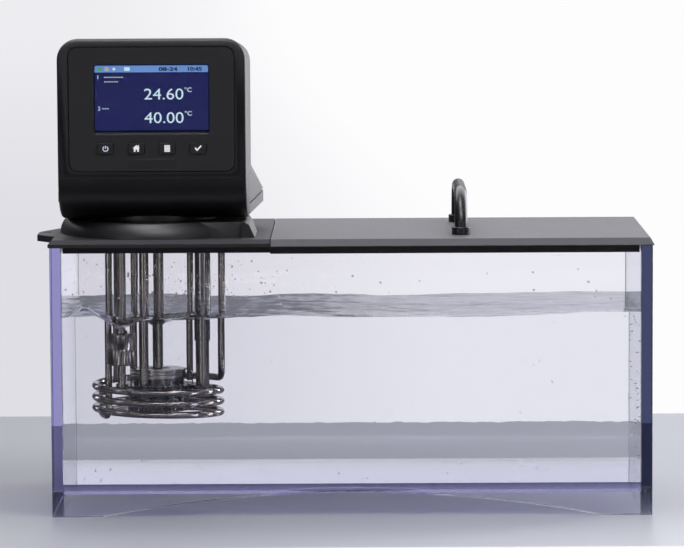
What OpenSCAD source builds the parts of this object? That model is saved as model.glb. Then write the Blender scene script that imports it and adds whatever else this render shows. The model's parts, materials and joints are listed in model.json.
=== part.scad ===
// Laboratory water bath: clear sheet tank, immersion circulator with a swivelling head, lift-off lid.
// Millimetres, +Z up, front towards -Y, origin at the middle of the outer box's bottom face.

/* [Tank] */
// Outside length of the tank
tank_length = 500; // [480:5:640]
// Outside depth of the tank, front to back
tank_depth = 210; // [206:1:260]
// Height of the tank walls
tank_height = 225.5; // [215:0.5:300]
// Thickness of the wall sheets
wall = 9.5; // [8:0.5:10]
// Thickness of the floor sheet
floor_thickness = 8.4; // [6:0.1:12]
// Height of the floor's underside above the bench
floor_lift = 18.2; // [15:0.1:24]
// Rise of the arch cut in the front and back panels
arch_rise = 19.8; // [10:0.1:22]
// Length of the arch along the bench
arch_length = 416; // [300:1:440]

/* [Bridge plate] */
// Length of the bridge plate, from the left rim to the seam with the lid
bridge_length = 184; // [180:1:200]
// Thickness of the bridge plate and of the lid
plate_thickness = 6.2; // [5:0.1:8]
// How far the rim stands out past the tank walls
rim_overhang = 1.2; // [0.5:0.1:3]
// Height of the upright lip under the bridge plate's bevel
bridge_lip = 2.8; // [1:0.1:4]
// Width of the bevel round the top edges
bevel_width = 3.1; // [1:0.1:5]
// Depth of the plug that drops between the tank walls
plug_depth = 5.4; // [4:0.1:8]
// Play between the plug or the skirt and the walls
plug_play = 1; // [0.5:0.1:2]
// How far the lid's skirt reaches below the plug
skirt_drop = 1; // [0.4:0.1:2]
// How far the ear stands out at the left end
ear_reach = 14; // [8:1:24]
// Length of the ear where it leaves the rim
ear_root = 79; // [40:1:100]
// Length of the ear at its tip
ear_tip = 26; // [10:1:30]
// Setback of the ear's front root from the plate's middle line
ear_front = 57; // [50:1:60]
// Length of the slot through the ear
ear_slot_length = 7.5; // [4:0.5:8]
// Width of that slot
ear_slot_width = 4.5; // [3:0.1:6]

/* [Lid] */
// Gap at the seam between the lid and the bridge plate
seam_gap = 0.6; // [0.4:0.1:2]
// Height of the upright lip under the lid's bevel
lid_lip = 0.6; // [0.4:0.1:3]
// Thickness of the lid's inner skirt
skirt_thickness = 2.5; // [1.5:0.1:4]
// Distance between the handle's legs
handle_span = 126; // [100:1:140]
// Height of the handle above the lid
handle_height = 39.5; // [34:0.5:60]
// Diameter of the handle's bar
handle_bar = 10.8; // [8:0.1:14]
// Bend radius of the handle's corners, to the middle of the bar
handle_bend = 28; // [16:1:30]
// Diameter of the collars at the handle's feet
collar_diameter = 15.8; // [15:0.1:20]
// Height of those collars
collar_height = 6.4; // [3:0.1:8]

/* [Base] */
// Distance from the left rim to the circulator's axis
axis_inset = 87.2; // [86:0.1:92]
// Distance from the tank's front face to the circulator's axis
axis_setback = 86; // [85:1:90]
// Radius of the dome at the bridge plate
dome_radius = 82.8; // [80:0.1:84]
// Height of the dome
dome_height = 12.8; // [11:0.1:14]
// Radius of the dome's curved side
dome_curve = 18.2; // [16:0.1:24]
// Wall of the dome
base_wall = 3; // [2:0.1:4]
// Reach of the corner block to the right of the axis
block_reach = 84.2; // [83:0.1:88]
// Reach of the corner block in front of the axis
block_front = 67; // [60:1:70]
// Lean of the corner block's right flank
block_lean = 6; // [2:0.1:8]
// Width of the corner cover
cover_width = 11.6; // [8:0.1:16]
// Width of the groove beside the corner cover
groove_width = 3.2; // [2:0.1:5]
// Depth of that groove
groove_depth = 1.5; // [1:0.1:3]
// Radius of the spigot that the head turns on
spigot_radius = 43.95; // [42:0.05:46]
// Wall of the spigot
spigot_wall = 6; // [4:0.1:7]
// Running play between the spigot and the swivel ring, on the radius
swivel_play = 0.05; // [0.02:0.01:0.1]
// Wall of the swivel ring
swivel_wall = 10; // [8:0.5:12]
// Height of the swivel ring
swivel_height = 17; // [14:0.5:20]
// Thickness of the swivel washer
washer_thickness = 0.6; // [0.4:0.1:0.9]
// Thickness of the retaining ring
retainer_thickness = 2; // [1.5:0.1:3]

/* [Head] */
// Distance from the circulator's axis forward to the head's face
face_reach = 85; // [84:0.5:88]
// Distance from the axis back to the head's rear wall
back_reach = 85; // [83:0.5:88]
// Distance from the axis back to the end of the straight sides
side_reach = 45; // [40:0.5:50]
// Distance from the axis back to the seam between side shell and rear shell
shell_seam = 4; // [0:0.5:8]
// Gap between the base and the underside of the head
head_gap = 1; // [0.9:0.1:2]
// Height of the chin cover
chin_height = 36.5; // [34:0.5:40]
// Corner radius of the face
face_corner = 17.5; // [14:0.5:20]
// Wall of the head's shells
shell_wall = 2.6; // [2:0.1:3]
// Thickness of the bezel and of the fascia panel
face_thickness = 4; // [3:0.1:5]
// Drop of the top from the bezel back to the shell seam
top_fall = 4.4; // [3:0.1:7]
// Width of the bezel at each side of the fascia panel
bezel_side = 9.85; // [9:0.05:11]
// Width of the bezel above the fascia panel
bezel_brow = 7.35; // [6:0.05:9]
// Width of the bezel below the fascia panel
bezel_sill = 6.95; // [6:0.05:9]
// Radius of the rounding round the face's front edge
edge_round = 2.5; // [1:0.1:3]
// Corner radius of the fascia panel
fascia_corner = 7.4; // [4:0.1:8]
// Width of the groove round the fascia panel
fascia_groove = 0.9; // [0.6:0.1:1.4]
// Reach of each flank beyond the head's sides
flank_reach = 10.3; // [6:0.1:11]

/* [Display and keys] */
// Width of the display window
window_width = 93.6; // [92:0.1:96]
// Height of the display window
window_height = 53.5; // [52:0.1:55]
// Setback of the display window behind the face
window_setback = 2.8; // [1.5:0.1:3]
// Width of the sloped surround at each side of the window
surround_side = 1.2; // [0.8:0.1:2]
// Width of the sloped surround above the window
surround_top = 1.4; // [0.8:0.1:2]
// Width of the sloped sill below the window
surround_sill = 3.3; // [2:0.1:4]
// Corner radius of the display window
window_corner = 1.5; // [0.8:0.1:3]
// Width of the fascia panel beside the surround
fascia_side = 20.15; // [18:0.05:22]
// Width of the fascia panel above the surround
fascia_brow = 13.6; // [12:0.1:16]
// Distance from the surround down to the middle of the keys
key_drop = 11.6; // [11:0.1:14]
// Distance from the middle of the keys down to the fascia panel's lower edge
key_foot = 18.7; // [16:0.1:22]
// Width of the display module
module_width = 105.5; // [104:0.1:108]
// Height of the display module
module_height = 67.2; // [66:0.1:68]
// Thickness of the display module
module_thickness = 2.9; // [2:0.1:3.5]
// Distance between the middles of neighbouring keys
key_pitch = 25.5; // [22:0.1:28]
// Width of a key
key_width = 13.4; // [11:0.1:15]
// Height of a key
key_height = 9.1; // [8:0.1:11]
// Corner radius of a key
key_corner = 1.4; // [0.8:0.1:2]
// Play round a key in the fascia
key_play = 0.25; // [0.2:0.05:0.4]
// How far a key stands out of the fascia
key_proud = 1.2; // [1.1:0.1:1.6]
// Travel of a key
key_travel = 1; // [0.6:0.1:1]

/* [Pump and shaft] */
// Diameter of the drive shaft
shaft_diameter = 8.8; // [7:0.1:9]
// Running play round the shaft, on the radius
shaft_play = 0.05; // [0.02:0.01:0.1]
// Depth of the pump flange's top below the plug
pump_drop = 116.1; // [112:0.1:118]
// Radius of the pump flange
flange_radius = 33.5; // [33:0.1:34]
// Thickness of the pump flange
flange_thickness = 8; // [6:0.1:9]
// Radius of the pump cover
cover_radius = 23.5; // [23:0.1:23.8]
// Thickness of the pump cover
cover_thickness = 7.7; // [6:0.1:8]
// Radius of the hole round the shaft in the pump cover
eye_radius = 9.6; // [9:0.1:11]
// Radius of the pump chamber
chamber_radius = 26; // [25:0.1:28]
// Height of the pump chamber
chamber_height = 14; // [13:0.1:16]
// Wall of the pump chamber
chamber_wall = 3.5; // [3:0.1:4]
// Radius of the impeller
impeller_radius = 20; // [16:0.1:21]
// Diameter of the front pump column
front_column = 8; // [7:0.1:8.4]
// Diameter of the rear pump column
rear_column = 6.4; // [6:0.1:8]
// Diameter of the sleeved column
sleeved_column = 11.5; // [10:0.1:12]
// Diameter of the sleeve round it
sleeve_diameter = 13.4; // [12.5:0.1:13.8]
// Length of that sleeve
sleeve_length = 78.5; // [60:0.5:90]
// Diameter of the temperature probe
probe_diameter = 5.6; // [5:0.1:6]

/* [Heater] */
// Diameter of the heater tube
heater_tube = 6; // [5.5:0.1:6]
// Radius of the heater coil, to the middle of the tube
coil_radius = 53.7; // [53.5:0.1:56]
// Pitch of the coil
coil_pitch = 9.3; // [9:0.1:10]
// Full turns before the lowest one flattens out
coil_turns = 3; // [3:1:4]
// Depth of the coil's top turn below the plug
coil_drop = 112.1; // [110:0.1:116]
// Bend radius between the outer leg and the coil
outer_bend = 18; // [12:0.5:20]
// Bend radius between the coil and the inner leg
inner_bend = 8; // [7.5:0.1:9]
// Distance from the axis to the inner leg
inner_leg = 45.4; // [45:0.1:47]

/* [Float switch] */
// Diameter of the float
float_diameter = 24; // [20:0.1:25]
// Height of the float
float_height = 27.2; // [20:0.1:28]
// Diameter of the float's stem
stem_diameter = 6.8; // [6:0.1:7]
// Running play of the float on its stem, on the radius
float_play = 0.08; // [0.05:0.01:0.1]
// Depth of the float's top below the plug
float_drop = 69.9; // [64:0.1:70]
// Travel of the float
float_travel = 15; // [8:0.5:15]
// Height of each stop collar on the stem
stop_height = 2.4; // [1.5:0.1:2.5]
// Width of each stop collar round the stem
stop_width = 1.6; // [1:0.1:2]

/* [Hidden] */

$fn = 96;
// Steps round each rounded corner of an outline
corner_steps = 10;
// Overshoot of a cut past the face that it opens
cut = 0.5;

// Heights that stack up from the bench
floor_top = floor_lift + floor_thickness;
plug_bottom = tank_height - plug_depth;
plate_top = tank_height + plate_thickness;
base_top = plate_top + dome_height;
head_bottom = base_top + head_gap;
face_seam = head_bottom + chin_height;

// The face is laid out round the display: surround, fascia panel, bezel
surround_width = window_width + 2 * surround_side;
surround_height = surround_sill + window_height + surround_top;
fascia_width = surround_width + 2 * fascia_side;
fascia_height = key_foot + key_drop + surround_height + fascia_brow;
head_width = fascia_width + 2 * bezel_side;
fascia_bottom = face_seam + bezel_sill;
fascia_middle = fascia_bottom + fascia_height / 2;
head_top = fascia_bottom + fascia_height + bezel_brow;
key_middle = fascia_bottom + key_foot;
surround_bottom = key_middle + key_drop;
window_bottom = surround_bottom + surround_sill;
window_middle = window_bottom + window_height / 2;

// Plan positions, measured from the middle of the tank
tank_half = tank_length / 2;
depth_half = tank_depth / 2;
inner_half = tank_half - wall;
inner_depth_half = depth_half - wall;
rim_x = tank_half + rim_overhang;
rim_y = depth_half + rim_overhang;
seam_x = bridge_length - rim_x;
axis_x = axis_inset - rim_x;
axis_y = axis_setback - depth_half;
lid_left = seam_x + seam_gap;
lid_middle = (lid_left + rim_x) / 2;
// Only the ear reaches past the rims, so half of it is the shift of the outer box's middle
origin_shift = ear_reach / 2;

// Radius of the arch from its rise and its chord
arch_radius = (arch_length * arch_length / 4 + arch_rise * arch_rise) / (2 * arch_rise);

module tank_frame() {
    translate([origin_shift, 0, 0]) children();
}

module axis_frame() {
    translate([origin_shift + axis_x, axis_y, 0]) children();
}

// Box between two corners
module block(low, high) {
    translate(low) cube(high - low);
}

// Post or disc between two heights
module post(radius, low, high) {
    translate([0, 0, low]) cylinder(r = radius, h = high - low);
}

// Ring between two heights
module ring(outer, inner, low, high) {
    difference() {
        post(outer, low, high);
        post(inner, low - cut, high + cut);
    }
}

// Outline drawn in X and Z, extruded from y = front back to y = back
module upright(front, back) {
    translate([0, back, 0]) rotate([90, 0, 0]) linear_extrude(height = back - front) children();
}

// Outline drawn in Y and Z, extruded from x = left to x = right
module sideways(left, right) {
    translate([left, 0, 0]) rotate([90, 0, 90]) linear_extrude(height = right - left) children();
}

// Quarter arc of outline points that starts at the given angle
function corner_arc(middle, radius, from) = [
    for (k = [0:corner_steps])
        let (a = from + 90 * k / corner_steps)
        [middle[0] + radius * cos(a), middle[1] + radius * sin(a)]
];

// Rectangle between two corners with one radius at all four of them
module soft_rectangle(low, high, radius) {
    polygon(concat(
        corner_arc([high[0] - radius, high[1] - radius], radius, 0),
        corner_arc([low[0] + radius, high[1] - radius], radius, 90),
        corner_arc([low[0] + radius, low[1] + radius], radius, 180),
        corner_arc([high[0] - radius, low[1] + radius], radius, 270)
    ));
}

// Tube along a list of points; sides[i] is a unit vector square to the path at points[i]
function unit(v) = v / norm(v);
function heading(points, i) =
    unit(points[min(i + 1, len(points) - 1)] - points[max(i - 1, 0)]);
function tube_ring(middle, along, side, radius, count) =
    let (flat = unit(side - (side * along) * along), up = cross(along, flat))
    [for (k = [0:count - 1]) middle + radius * (cos(360 * k / count) * flat + sin(360 * k / count) * up)];

module swept_tube(points, sides, headings, radius, count) {
    rings = len(points);
    corners = [
        for (i = [0:rings - 1])
            each tube_ring(points[i], headings[i], sides[i], radius, count)
    ];
    walls = [
        for (i = [0:rings - 2], k = [0:count - 1])
            let (a = i * count + k, b = i * count + (k + 1) % count)
            each [[a, a + count, b + count], [a, b + count, b]]
    ];
    start = [[for (k = [0:count - 1]) k]];
    end = [[for (k = [count - 1:-1:0]) (rings - 1) * count + k]];
    polyhedron(points = corners, faces = concat(walls, start, end), convexity = 8);
}

// Tank sheets

module end_wall(left) {
    color([0.72, 0.7, 0.86, 0.45]) tank_frame()
        block([left, -depth_half, 0], [left + wall, depth_half, tank_height]);
}

module left_end_wall() {
    end_wall(-tank_half);
}

module right_end_wall() {
    end_wall(inner_half);
}

module long_panel(front) {
    color([0.85, 0.85, 0.93, 0.35]) tank_frame() difference() {
        block([-inner_half, front, 0], [inner_half, front + wall, tank_height]);
        translate([0, front + wall + cut, arch_rise - arch_radius]) rotate([90, 0, 0])
            cylinder(r = arch_radius, h = wall + 2 * cut, $fn = 360);
    }
}

module front_panel() {
    long_panel(-depth_half);
}

module back_panel() {
    long_panel(inner_depth_half);
}

module tank_floor() {
    color([0.78, 0.77, 0.9, 0.45]) tank_frame()
        block([-inner_half, -inner_depth_half, floor_lift], [inner_half, inner_depth_half, floor_top]);
}

// Bridge plate and what is let into it

// Mounting plate let into the underside of the plug, as reaches from the axis
mount_left = 62;
mount_right = 64;
mount_front = 50;
mount_back = 45;
mount_thickness = 2.5;
mount_top = plug_bottom + mount_thickness;
// Radius of the hole that the shaft coupling stands in
coupling_hole = 14;
// Radius and height of the shaft bearing
bearing_radius = 9;
bearing_height = 8;
shaft_radius = shaft_diameter / 2;
journal_radius = shaft_radius + shaft_play;
ear_thickness = 5.4;
ear_overlap = 6;
// How far back of the front root the ear's tip begins
ear_sweep = 19;
// Distance from the ear's tip to its slot, and corner radius of that slot
ear_slot_inset = 3;
ear_slot_corner = 2;

// Slab with bevelled top edges; the left and right bevels are given one by one
module bevelled_slab(left, right, lip, left_bevel, right_bevel) {
    rise = plate_thickness - lip;
    intersection() {
        translate([0, 0, tank_height]) upright(-rim_y, rim_y) polygon([
            [left, 0],
            [right, 0],
            [right, lip],
            [right - right_bevel, lip + rise],
            [left + left_bevel, lip + rise],
            [left, lip]
        ]);
        translate([0, 0, tank_height]) sideways(left, right) polygon([
            [-rim_y, 0],
            [rim_y, 0],
            [rim_y, lip],
            [rim_y - bevel_width, lip + rise],
            [bevel_width - rim_y, lip + rise],
            [-rim_y, lip]
        ]);
    }
}

module ear() {
    root = ear_overlap - rim_x;
    tip = -rim_x - ear_reach;
    slot_left = tip + ear_slot_inset;
    slot_back = ear_sweep + ear_tip - ear_front;
    translate([0, 0, tank_height]) linear_extrude(height = ear_thickness) difference() {
        polygon([
            [root, -ear_front],
            [-rim_x, -ear_front],
            [tip, ear_sweep - ear_front],
            [tip, ear_sweep + ear_tip - ear_front],
            [-rim_x, ear_root - ear_front],
            [root, ear_root - ear_front]
        ]);
        soft_rectangle(
            [slot_left, slot_back - ear_slot_width],
            [slot_left + ear_slot_length, slot_back],
            ear_slot_corner
        );
    }
}

module bridge_plate() {
    color([0.16, 0.16, 0.17]) difference() {
        union() {
            tank_frame() bevelled_slab(-rim_x, seam_x, bridge_lip, bevel_width, 0);
            tank_frame() ear();
            tank_frame() block(
                [plug_play - inner_half, plug_play - inner_depth_half, plug_bottom],
                [seam_x, inner_depth_half - plug_play, tank_height]
            );
        }
        axis_frame() block([-mount_left, -mount_front, plug_bottom - cut], [mount_right, mount_back, mount_top]);
        axis_frame() post(coupling_hole, mount_top - cut, plate_top + cut);
    }
}

module mounting_plate() {
    color([0.62, 0.62, 0.64]) axis_frame() difference() {
        block([-mount_left, -mount_front, plug_bottom], [mount_right, mount_back, mount_top]);
        post(bearing_radius, plug_bottom - cut, mount_top + cut);
    }
}

module shaft_bearing() {
    color([0.55, 0.45, 0.25]) axis_frame()
        ring(bearing_radius, journal_radius, plug_bottom, plug_bottom + bearing_height);
}

// Base of the circulator

// Steps of the dome's curved side
dome_steps = 10;
// Hole in the dome's top wall for the shaft
throat_radius = 12;
// Gap between the swivel ring and the retaining ring above it
retainer_clearance = 0.3;
spigot_top = base_top + washer_thickness + swivel_height + retainer_clearance;
spigot_bore = spigot_radius - spigot_wall;
swivel_bore = spigot_radius + swivel_play;
swivel_radius = swivel_bore + swivel_wall;
// Inset of the washer's edges from those of the swivel ring
washer_inset = 1;
// Overlap of the retaining ring onto the swivel ring
retainer_reach = 5;

// Points up the dome's side: an arc that starts upright at the bridge plate
function dome_side(radius, curve, height) = [
    for (i = [0:dome_steps])
        let (z = height * i / dome_steps)
        [radius - curve + sqrt(curve * curve - z * z), plate_top + z]
];

module dome_blank() {
    rotate_extrude() polygon(concat(
        [[0, base_top], [0, plate_top]],
        dome_side(dome_radius, dome_curve, dome_height)
    ));
}

module dome_hollow() {
    top = dome_height - base_wall;
    rotate_extrude() polygon(concat(
        [[0, base_top - base_wall], [0, plate_top - cut], [dome_radius - base_wall, plate_top - cut]],
        dome_side(dome_radius - base_wall, dome_curve, top)
    ));
}

cover_left = block_reach - cover_width;

module base_housing() {
    color([0.14, 0.14, 0.15]) axis_frame() {
        difference() {
            union() {
                dome_blank();
                block([0, -block_front, plate_top], [cover_left - groove_width, 0, base_top]);
                block([0, groove_depth - block_front, plate_top], [cover_left, 0, base_top]);
            }
            dome_hollow();
            post(throat_radius, plate_top, base_top + cut);
        }
        ring(spigot_radius, spigot_bore, base_top, spigot_top);
    }
}

// Width and fall of the corner cover's shoulder
shoulder_width = 4;
shoulder_fall = 2;

module corner_cover() {
    shoulder_x = block_reach - block_lean * (1 - shoulder_fall / dome_height);
    color([0.12, 0.12, 0.13]) axis_frame() difference() {
        upright(-block_front, 0) polygon([
            [cover_left, plate_top],
            [block_reach, plate_top],
            [shoulder_x, base_top - shoulder_fall],
            [shoulder_x - shoulder_width, base_top],
            [cover_left, base_top]
        ]);
        dome_blank();
    }
}

module swivel_washer() {
    color([0.85, 0.85, 0.82]) axis_frame() ring(
        swivel_radius - washer_inset, swivel_bore + washer_inset,
        base_top, base_top + washer_thickness
    );
}

module retaining_ring() {
    color([0.6, 0.6, 0.62]) axis_frame()
        ring(swivel_bore + retainer_reach, spigot_bore, spigot_top, spigot_top + retainer_thickness);
}

// Motor inside the spigot
motor_flange_thickness = 4;
motor_radius = 32;
motor_height = 73.5;
motor_bottom = base_top + motor_flange_thickness;
motor_top = motor_bottom + motor_height;
// Boss round the shaft on top of the motor
boss_radius = 10;
boss_height = 4;
// Grooves round the motor's case between its end bells
bell_height = 12;
case_step = 1.5;

module motor_flange() {
    color([0.65, 0.65, 0.67]) axis_frame()
        ring(spigot_bore, throat_radius, base_top, motor_bottom);
}

module motor() {
    color([0.35, 0.35, 0.37]) axis_frame() difference() {
        union() {
            post(motor_radius, motor_bottom, motor_bottom + bell_height);
            post(motor_radius - case_step, motor_bottom + bell_height, motor_top - bell_height);
            post(motor_radius, motor_top - bell_height, motor_top);
            post(boss_radius, motor_top, motor_top + boss_height);
        }
        post(journal_radius, motor_bottom - cut, motor_top + boss_height + cut);
    }
}

// Immersed columns and probes, as places round the circulator's axis
front_column_place = [-10.9, -25.2];
rear_column_place = [-21.4, 17.4];
sleeved_place = [38, -11];
probe_place = [26.6, 9.8];
stem_place = [-29.1, -35];
// Second probe, behind the float's stem
rear_probe_place = [-34.8, -8];
flange_top = plug_bottom - pump_drop;
flange_bottom = flange_top - flange_thickness;
chamber_bottom = flange_bottom - chamber_height;
// Neck between the pump flange and the pump cover
neck_radius = 22;
neck_height = 5.8;
cover_bottom = flange_top + neck_height;
cover_top = cover_bottom + cover_thickness;
// Arm of the flange under the sleeved column
arm_radius = 8.5;
// Grooves turned in the pump cover's rim
rim_groove = 0.6;
rim_groove_height = 0.9;
rim_grooves = 2;
// Inlet in the chamber's floor and outlet in its wall
inlet_radius = 11;
outlet_width = 14;
outlet_height = 7;
probe_length = 114;

module column(place, diameter, bottom) {
    axis_frame() translate([place[0], place[1], 0]) post(diameter / 2, bottom, plug_bottom);
}

module pump_column_front() {
    color([0.5, 0.5, 0.52]) column(front_column_place, front_column, flange_top);
}

module pump_column_rear() {
    color([0.5, 0.5, 0.52]) column(rear_column_place, rear_column, flange_top);
}

module sleeved_column_tube() {
    color([0.5, 0.5, 0.52]) column(sleeved_place, sleeved_column, flange_top);
}

module column_sleeve() {
    color([0.55, 0.55, 0.57]) axis_frame() translate([sleeved_place[0], sleeved_place[1], 0])
        ring(sleeve_diameter / 2, sleeved_column / 2, plug_bottom - sleeve_length, plug_bottom);
}

module temperature_probe() {
    color([0.52, 0.52, 0.54]) for (place = [probe_place, rear_probe_place])
        column(place, probe_diameter, plug_bottom - probe_length);
}

// Bent strip from the pump cover's rim down to the flange, with an eye round the probe
clip_thickness = 1;
clip_bend = 5;
clip_width = 8;
clip_eye_wall = 1.4;
clip_eye_height = 3;
clip_foot = cover_radius + clip_bend + clip_thickness;

module probe_clip() {
    eye_bottom = plug_bottom - probe_length + clip_eye_height;
    eye_outer = probe_diameter / 2 + clip_eye_wall;
    color([0.7, 0.7, 0.72]) axis_frame() difference() {
        union() {
            translate([cover_radius, clip_width / 2, cover_top - clip_bend - clip_thickness])
                rotate([90, 0, 0]) rotate_extrude(angle = 90)
                translate([clip_bend, 0]) square([clip_thickness, clip_width]);
            block(
                [clip_foot - clip_thickness, -clip_width / 2, flange_top],
                [clip_foot, clip_width / 2, cover_top - clip_bend - clip_thickness]
            );
            translate([probe_place[0], probe_place[1], 0])
                post(eye_outer, eye_bottom, eye_bottom + clip_eye_height);
            block(
                [probe_place[0], clip_width / 2 - clip_thickness, eye_bottom],
                [clip_foot, probe_place[1], eye_bottom + clip_eye_height]
            );
        }
        translate([probe_place[0], probe_place[1], 0])
            post(probe_diameter / 2, eye_bottom - cut, eye_bottom + clip_eye_height + cut);
    }
}

module pump_cover() {
    step = cover_thickness / (rim_grooves + 1);
    color([0.72, 0.72, 0.74]) axis_frame() difference() {
        post(cover_radius, cover_bottom, cover_top);
        post(eye_radius, cover_bottom - cut, cover_top + cut);
        for (i = [1:rim_grooves]) {
            ring(
                cover_radius + cut, cover_radius - rim_groove,
                cover_bottom + i * step - rim_groove_height / 2,
                cover_bottom + i * step + rim_groove_height / 2
            );
        }
    }
}

module pump_body() {
    chamber_inner = chamber_radius - chamber_wall;
    chamber_floor = chamber_bottom + chamber_wall;
    color([0.42, 0.42, 0.44]) axis_frame() difference() {
        union() {
            post(neck_radius, flange_top, cover_bottom);
            post(flange_radius, flange_bottom, flange_top);
            translate([sleeved_place[0], sleeved_place[1], 0]) post(arm_radius, flange_bottom, flange_top);
            post(chamber_radius, chamber_bottom, flange_bottom);
        }
        post(eye_radius, flange_bottom - cut, cover_bottom + cut);
        post(chamber_inner, chamber_floor, flange_bottom);
        post(inlet_radius, chamber_bottom - cut, chamber_floor + cut);
        block(
            [-outlet_width / 2, 0, chamber_floor],
            [outlet_width / 2, chamber_radius + cut, chamber_floor + outlet_height]
        );
    }
}

// Heater coil: its middle line is drawn flat on an unrolled cylinder and wound on from there

// Rings of the swept tube in each full turn and in each quarter bend, and sides of the tube
turn_rings = 24;
bend_rings = 6;
coil_sides = 10;
coil_top = plug_bottom - coil_drop;
// Share of a turn that runs on below the last full one, and where it starts to draw inwards
tail_turn_share = 0.543;
draw_start_share = 0.40;
// Pitch of that tail as a share of the coil's pitch
tail_pitch_share = 0.39;

function ease(x) = let (s = min(max(x, 0), 1)) s * s * (3 - 2 * s);
// Height of the middle line after t turns
function coil_height(t) =
    coil_top - coil_pitch * min(t, coil_turns) - coil_pitch * tail_pitch_share * max(t - coil_turns, 0);
// Distance of the middle line from the axis after t turns
function coil_reach(t) =
    coil_radius - (coil_radius - inner_leg)
    * ease((t - coil_turns - draw_start_share) / (tail_turn_share - draw_start_share));
function on_coil(turns, reach, z) = [reach * cos(360 * turns), reach * sin(360 * turns), z];

// Turns at which the outer leg's bend runs into the coil, and at which the coil ends
coil_start_turns = outer_bend / (2 * PI * coil_radius);
coil_end_turns = coil_turns + tail_turn_share;
inner_leg_turns = coil_end_turns + inner_bend / (2 * PI * inner_leg);
coil_steps = ceil(turn_rings * coil_end_turns);
coil_start_height = coil_height(coil_start_turns);
coil_end_height = coil_height(coil_end_turns);

function coil_line(steps) = [
    for (i = [0:steps])
        let (t = coil_start_turns + (coil_end_turns - coil_start_turns) * i / steps)
        on_coil(t, coil_reach(t), coil_height(t))
];
// Outer leg: down from the plate, then a quarter bend onto the coil
outer_leg_line = concat(
    [[coil_radius, 0, plug_bottom]],
    [
        for (i = [0:bend_rings - 1])
            let (a = 90 * i / bend_rings)
            on_coil(
                coil_start_turns * (1 - cos(a)), coil_radius,
                coil_start_height + outer_bend * (1 - sin(a))
            )
    ]
);
// Inner leg: a quarter bend up from the tail, then straight to the plate
inner_leg_line = concat(
    [
        for (i = [1:bend_rings])
            let (a = 90 * i / bend_rings)
            on_coil(
                coil_end_turns + (inner_leg_turns - coil_end_turns) * sin(a), inner_leg,
                coil_end_height + inner_bend * (1 - cos(a))
            )
    ],
    [on_coil(inner_leg_turns, inner_leg, plug_bottom)]
);
heater_line = concat(outer_leg_line, coil_line(coil_steps), inner_leg_line);
heater_sides = [for (p = heater_line) unit([p[0], p[1], 0])];
heater_last = len(heater_line) - 1;
// The legs' end faces are level, so that they meet the mounting plate
heater_headings = [
    for (i = [0:heater_last])
        i <= 1 ? [0, 0, -1] : (i >= heater_last - 1 ? [0, 0, 1] : heading(heater_line, i))
];
outer_leg_place = outer_leg_line[0];
inner_leg_place = heater_line[heater_last];

module heater_coil() {
    color([0.5, 0.5, 0.52]) axis_frame()
        swept_tube(heater_line, heater_sides, heater_headings, heater_tube / 2, coil_sides);
}

// Least gap of the coil to itself, between any two places more than a third of a turn apart
fine_steps = 180;
fine_line = coil_line(fine_steps);
apart = ceil(fine_steps / coil_end_turns / 3);
coil_gap = min([
    for (i = [0:fine_steps - apart], j = [i + apart:fine_steps])
        norm(fine_line[i] - fine_line[j])
]) - heater_tube;
leg_gap = min([
    for (p = fine_line)
        if (p[2] > coil_end_height + inner_bend)
            norm([p[0] - inner_leg_place[0], p[1] - inner_leg_place[1]])
]) - heater_tube;
echo(coil_gap = coil_gap, leg_gap = leg_gap);

// Terminals of the heater, standing on the bridge plate inside the dome
terminal_radius = 3;
terminal_height = 7;
nut_radius = 4.6;
nut_height = 2.6;

module heater_terminals() {
    color([0.75, 0.6, 0.3]) axis_frame() for (place = [outer_leg_place, inner_leg_place]) {
        translate([place[0], place[1], 0]) {
            post(terminal_radius, plate_top, plate_top + terminal_height);
            translate([0, 0, plate_top]) cylinder(r = nut_radius, h = nut_height, $fn = 6);
        }
    }
}

// Float switch
float_top = plug_bottom - float_drop;
float_bottom = float_top - float_height;
stem_radius = stem_diameter / 2;
// Play left under the float at the end of its travel
float_rest = 0.5;
stop_bottom = float_bottom - float_travel - float_rest - stop_height;
// Seam round the float's waist and bevel at its ends
float_seam = 0.5;
float_seam_height = 0.8;
float_bevel = 1;

module float_frame() {
    axis_frame() translate([stem_place[0], stem_place[1], 0]) children();
}

module float_stem() {
    color([0.5, 0.5, 0.52]) float_frame() post(stem_radius, stop_bottom, plug_bottom);
}

module float_stops() {
    color([0.6, 0.6, 0.62]) float_frame() for (low = [stop_bottom, float_top]) {
        ring(stem_radius + stop_width, stem_radius, low, low + stop_height);
    }
}

module float_body() {
    radius = float_diameter / 2;
    waist = (float_top + float_bottom) / 2;
    half_seam = float_seam_height / 2;
    bore = stem_radius + float_play;
    color([0.6, 0.6, 0.62]) float_frame() rotate_extrude() polygon([
        [bore, float_bottom],
        [radius - float_bevel, float_bottom],
        [radius, float_bottom + float_bevel],
        [radius, waist - half_seam],
        [radius - float_seam, waist],
        [radius, waist + half_seam],
        [radius, float_top - float_bevel],
        [radius - float_bevel, float_top],
        [bore, float_top]
    ]);
}

// Rotating parts
hub_radius = 7;
blade_thickness = 1.6;
impeller_blades = 6;
impeller_height = 7;
impeller_clearance = 1;
impeller_bottom = chamber_bottom + chamber_wall + impeller_clearance;
impeller_top = impeller_bottom + impeller_height;
coupling_radius = 9;
coupling_height = 7;
shaft_clearance = 2;
coupling_bottom = plate_top + shaft_clearance;
fan_gap = 4;
fan_height = 8;
fan_radius = 28;
fan_hub = 8;
fan_blades = 7;
fan_bottom = motor_top + boss_height + fan_gap;
fan_top = fan_bottom + fan_height;
// Lean of the fan's blades
fan_lean = 30;

module drive_shaft() {
    color([0.62, 0.62, 0.64]) axis_frame() post(shaft_radius, impeller_bottom, fan_top);
}

module shaft_coupling() {
    color([0.5, 0.5, 0.52]) axis_frame()
        ring(coupling_radius, shaft_radius, coupling_bottom, coupling_bottom + coupling_height);
}

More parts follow.
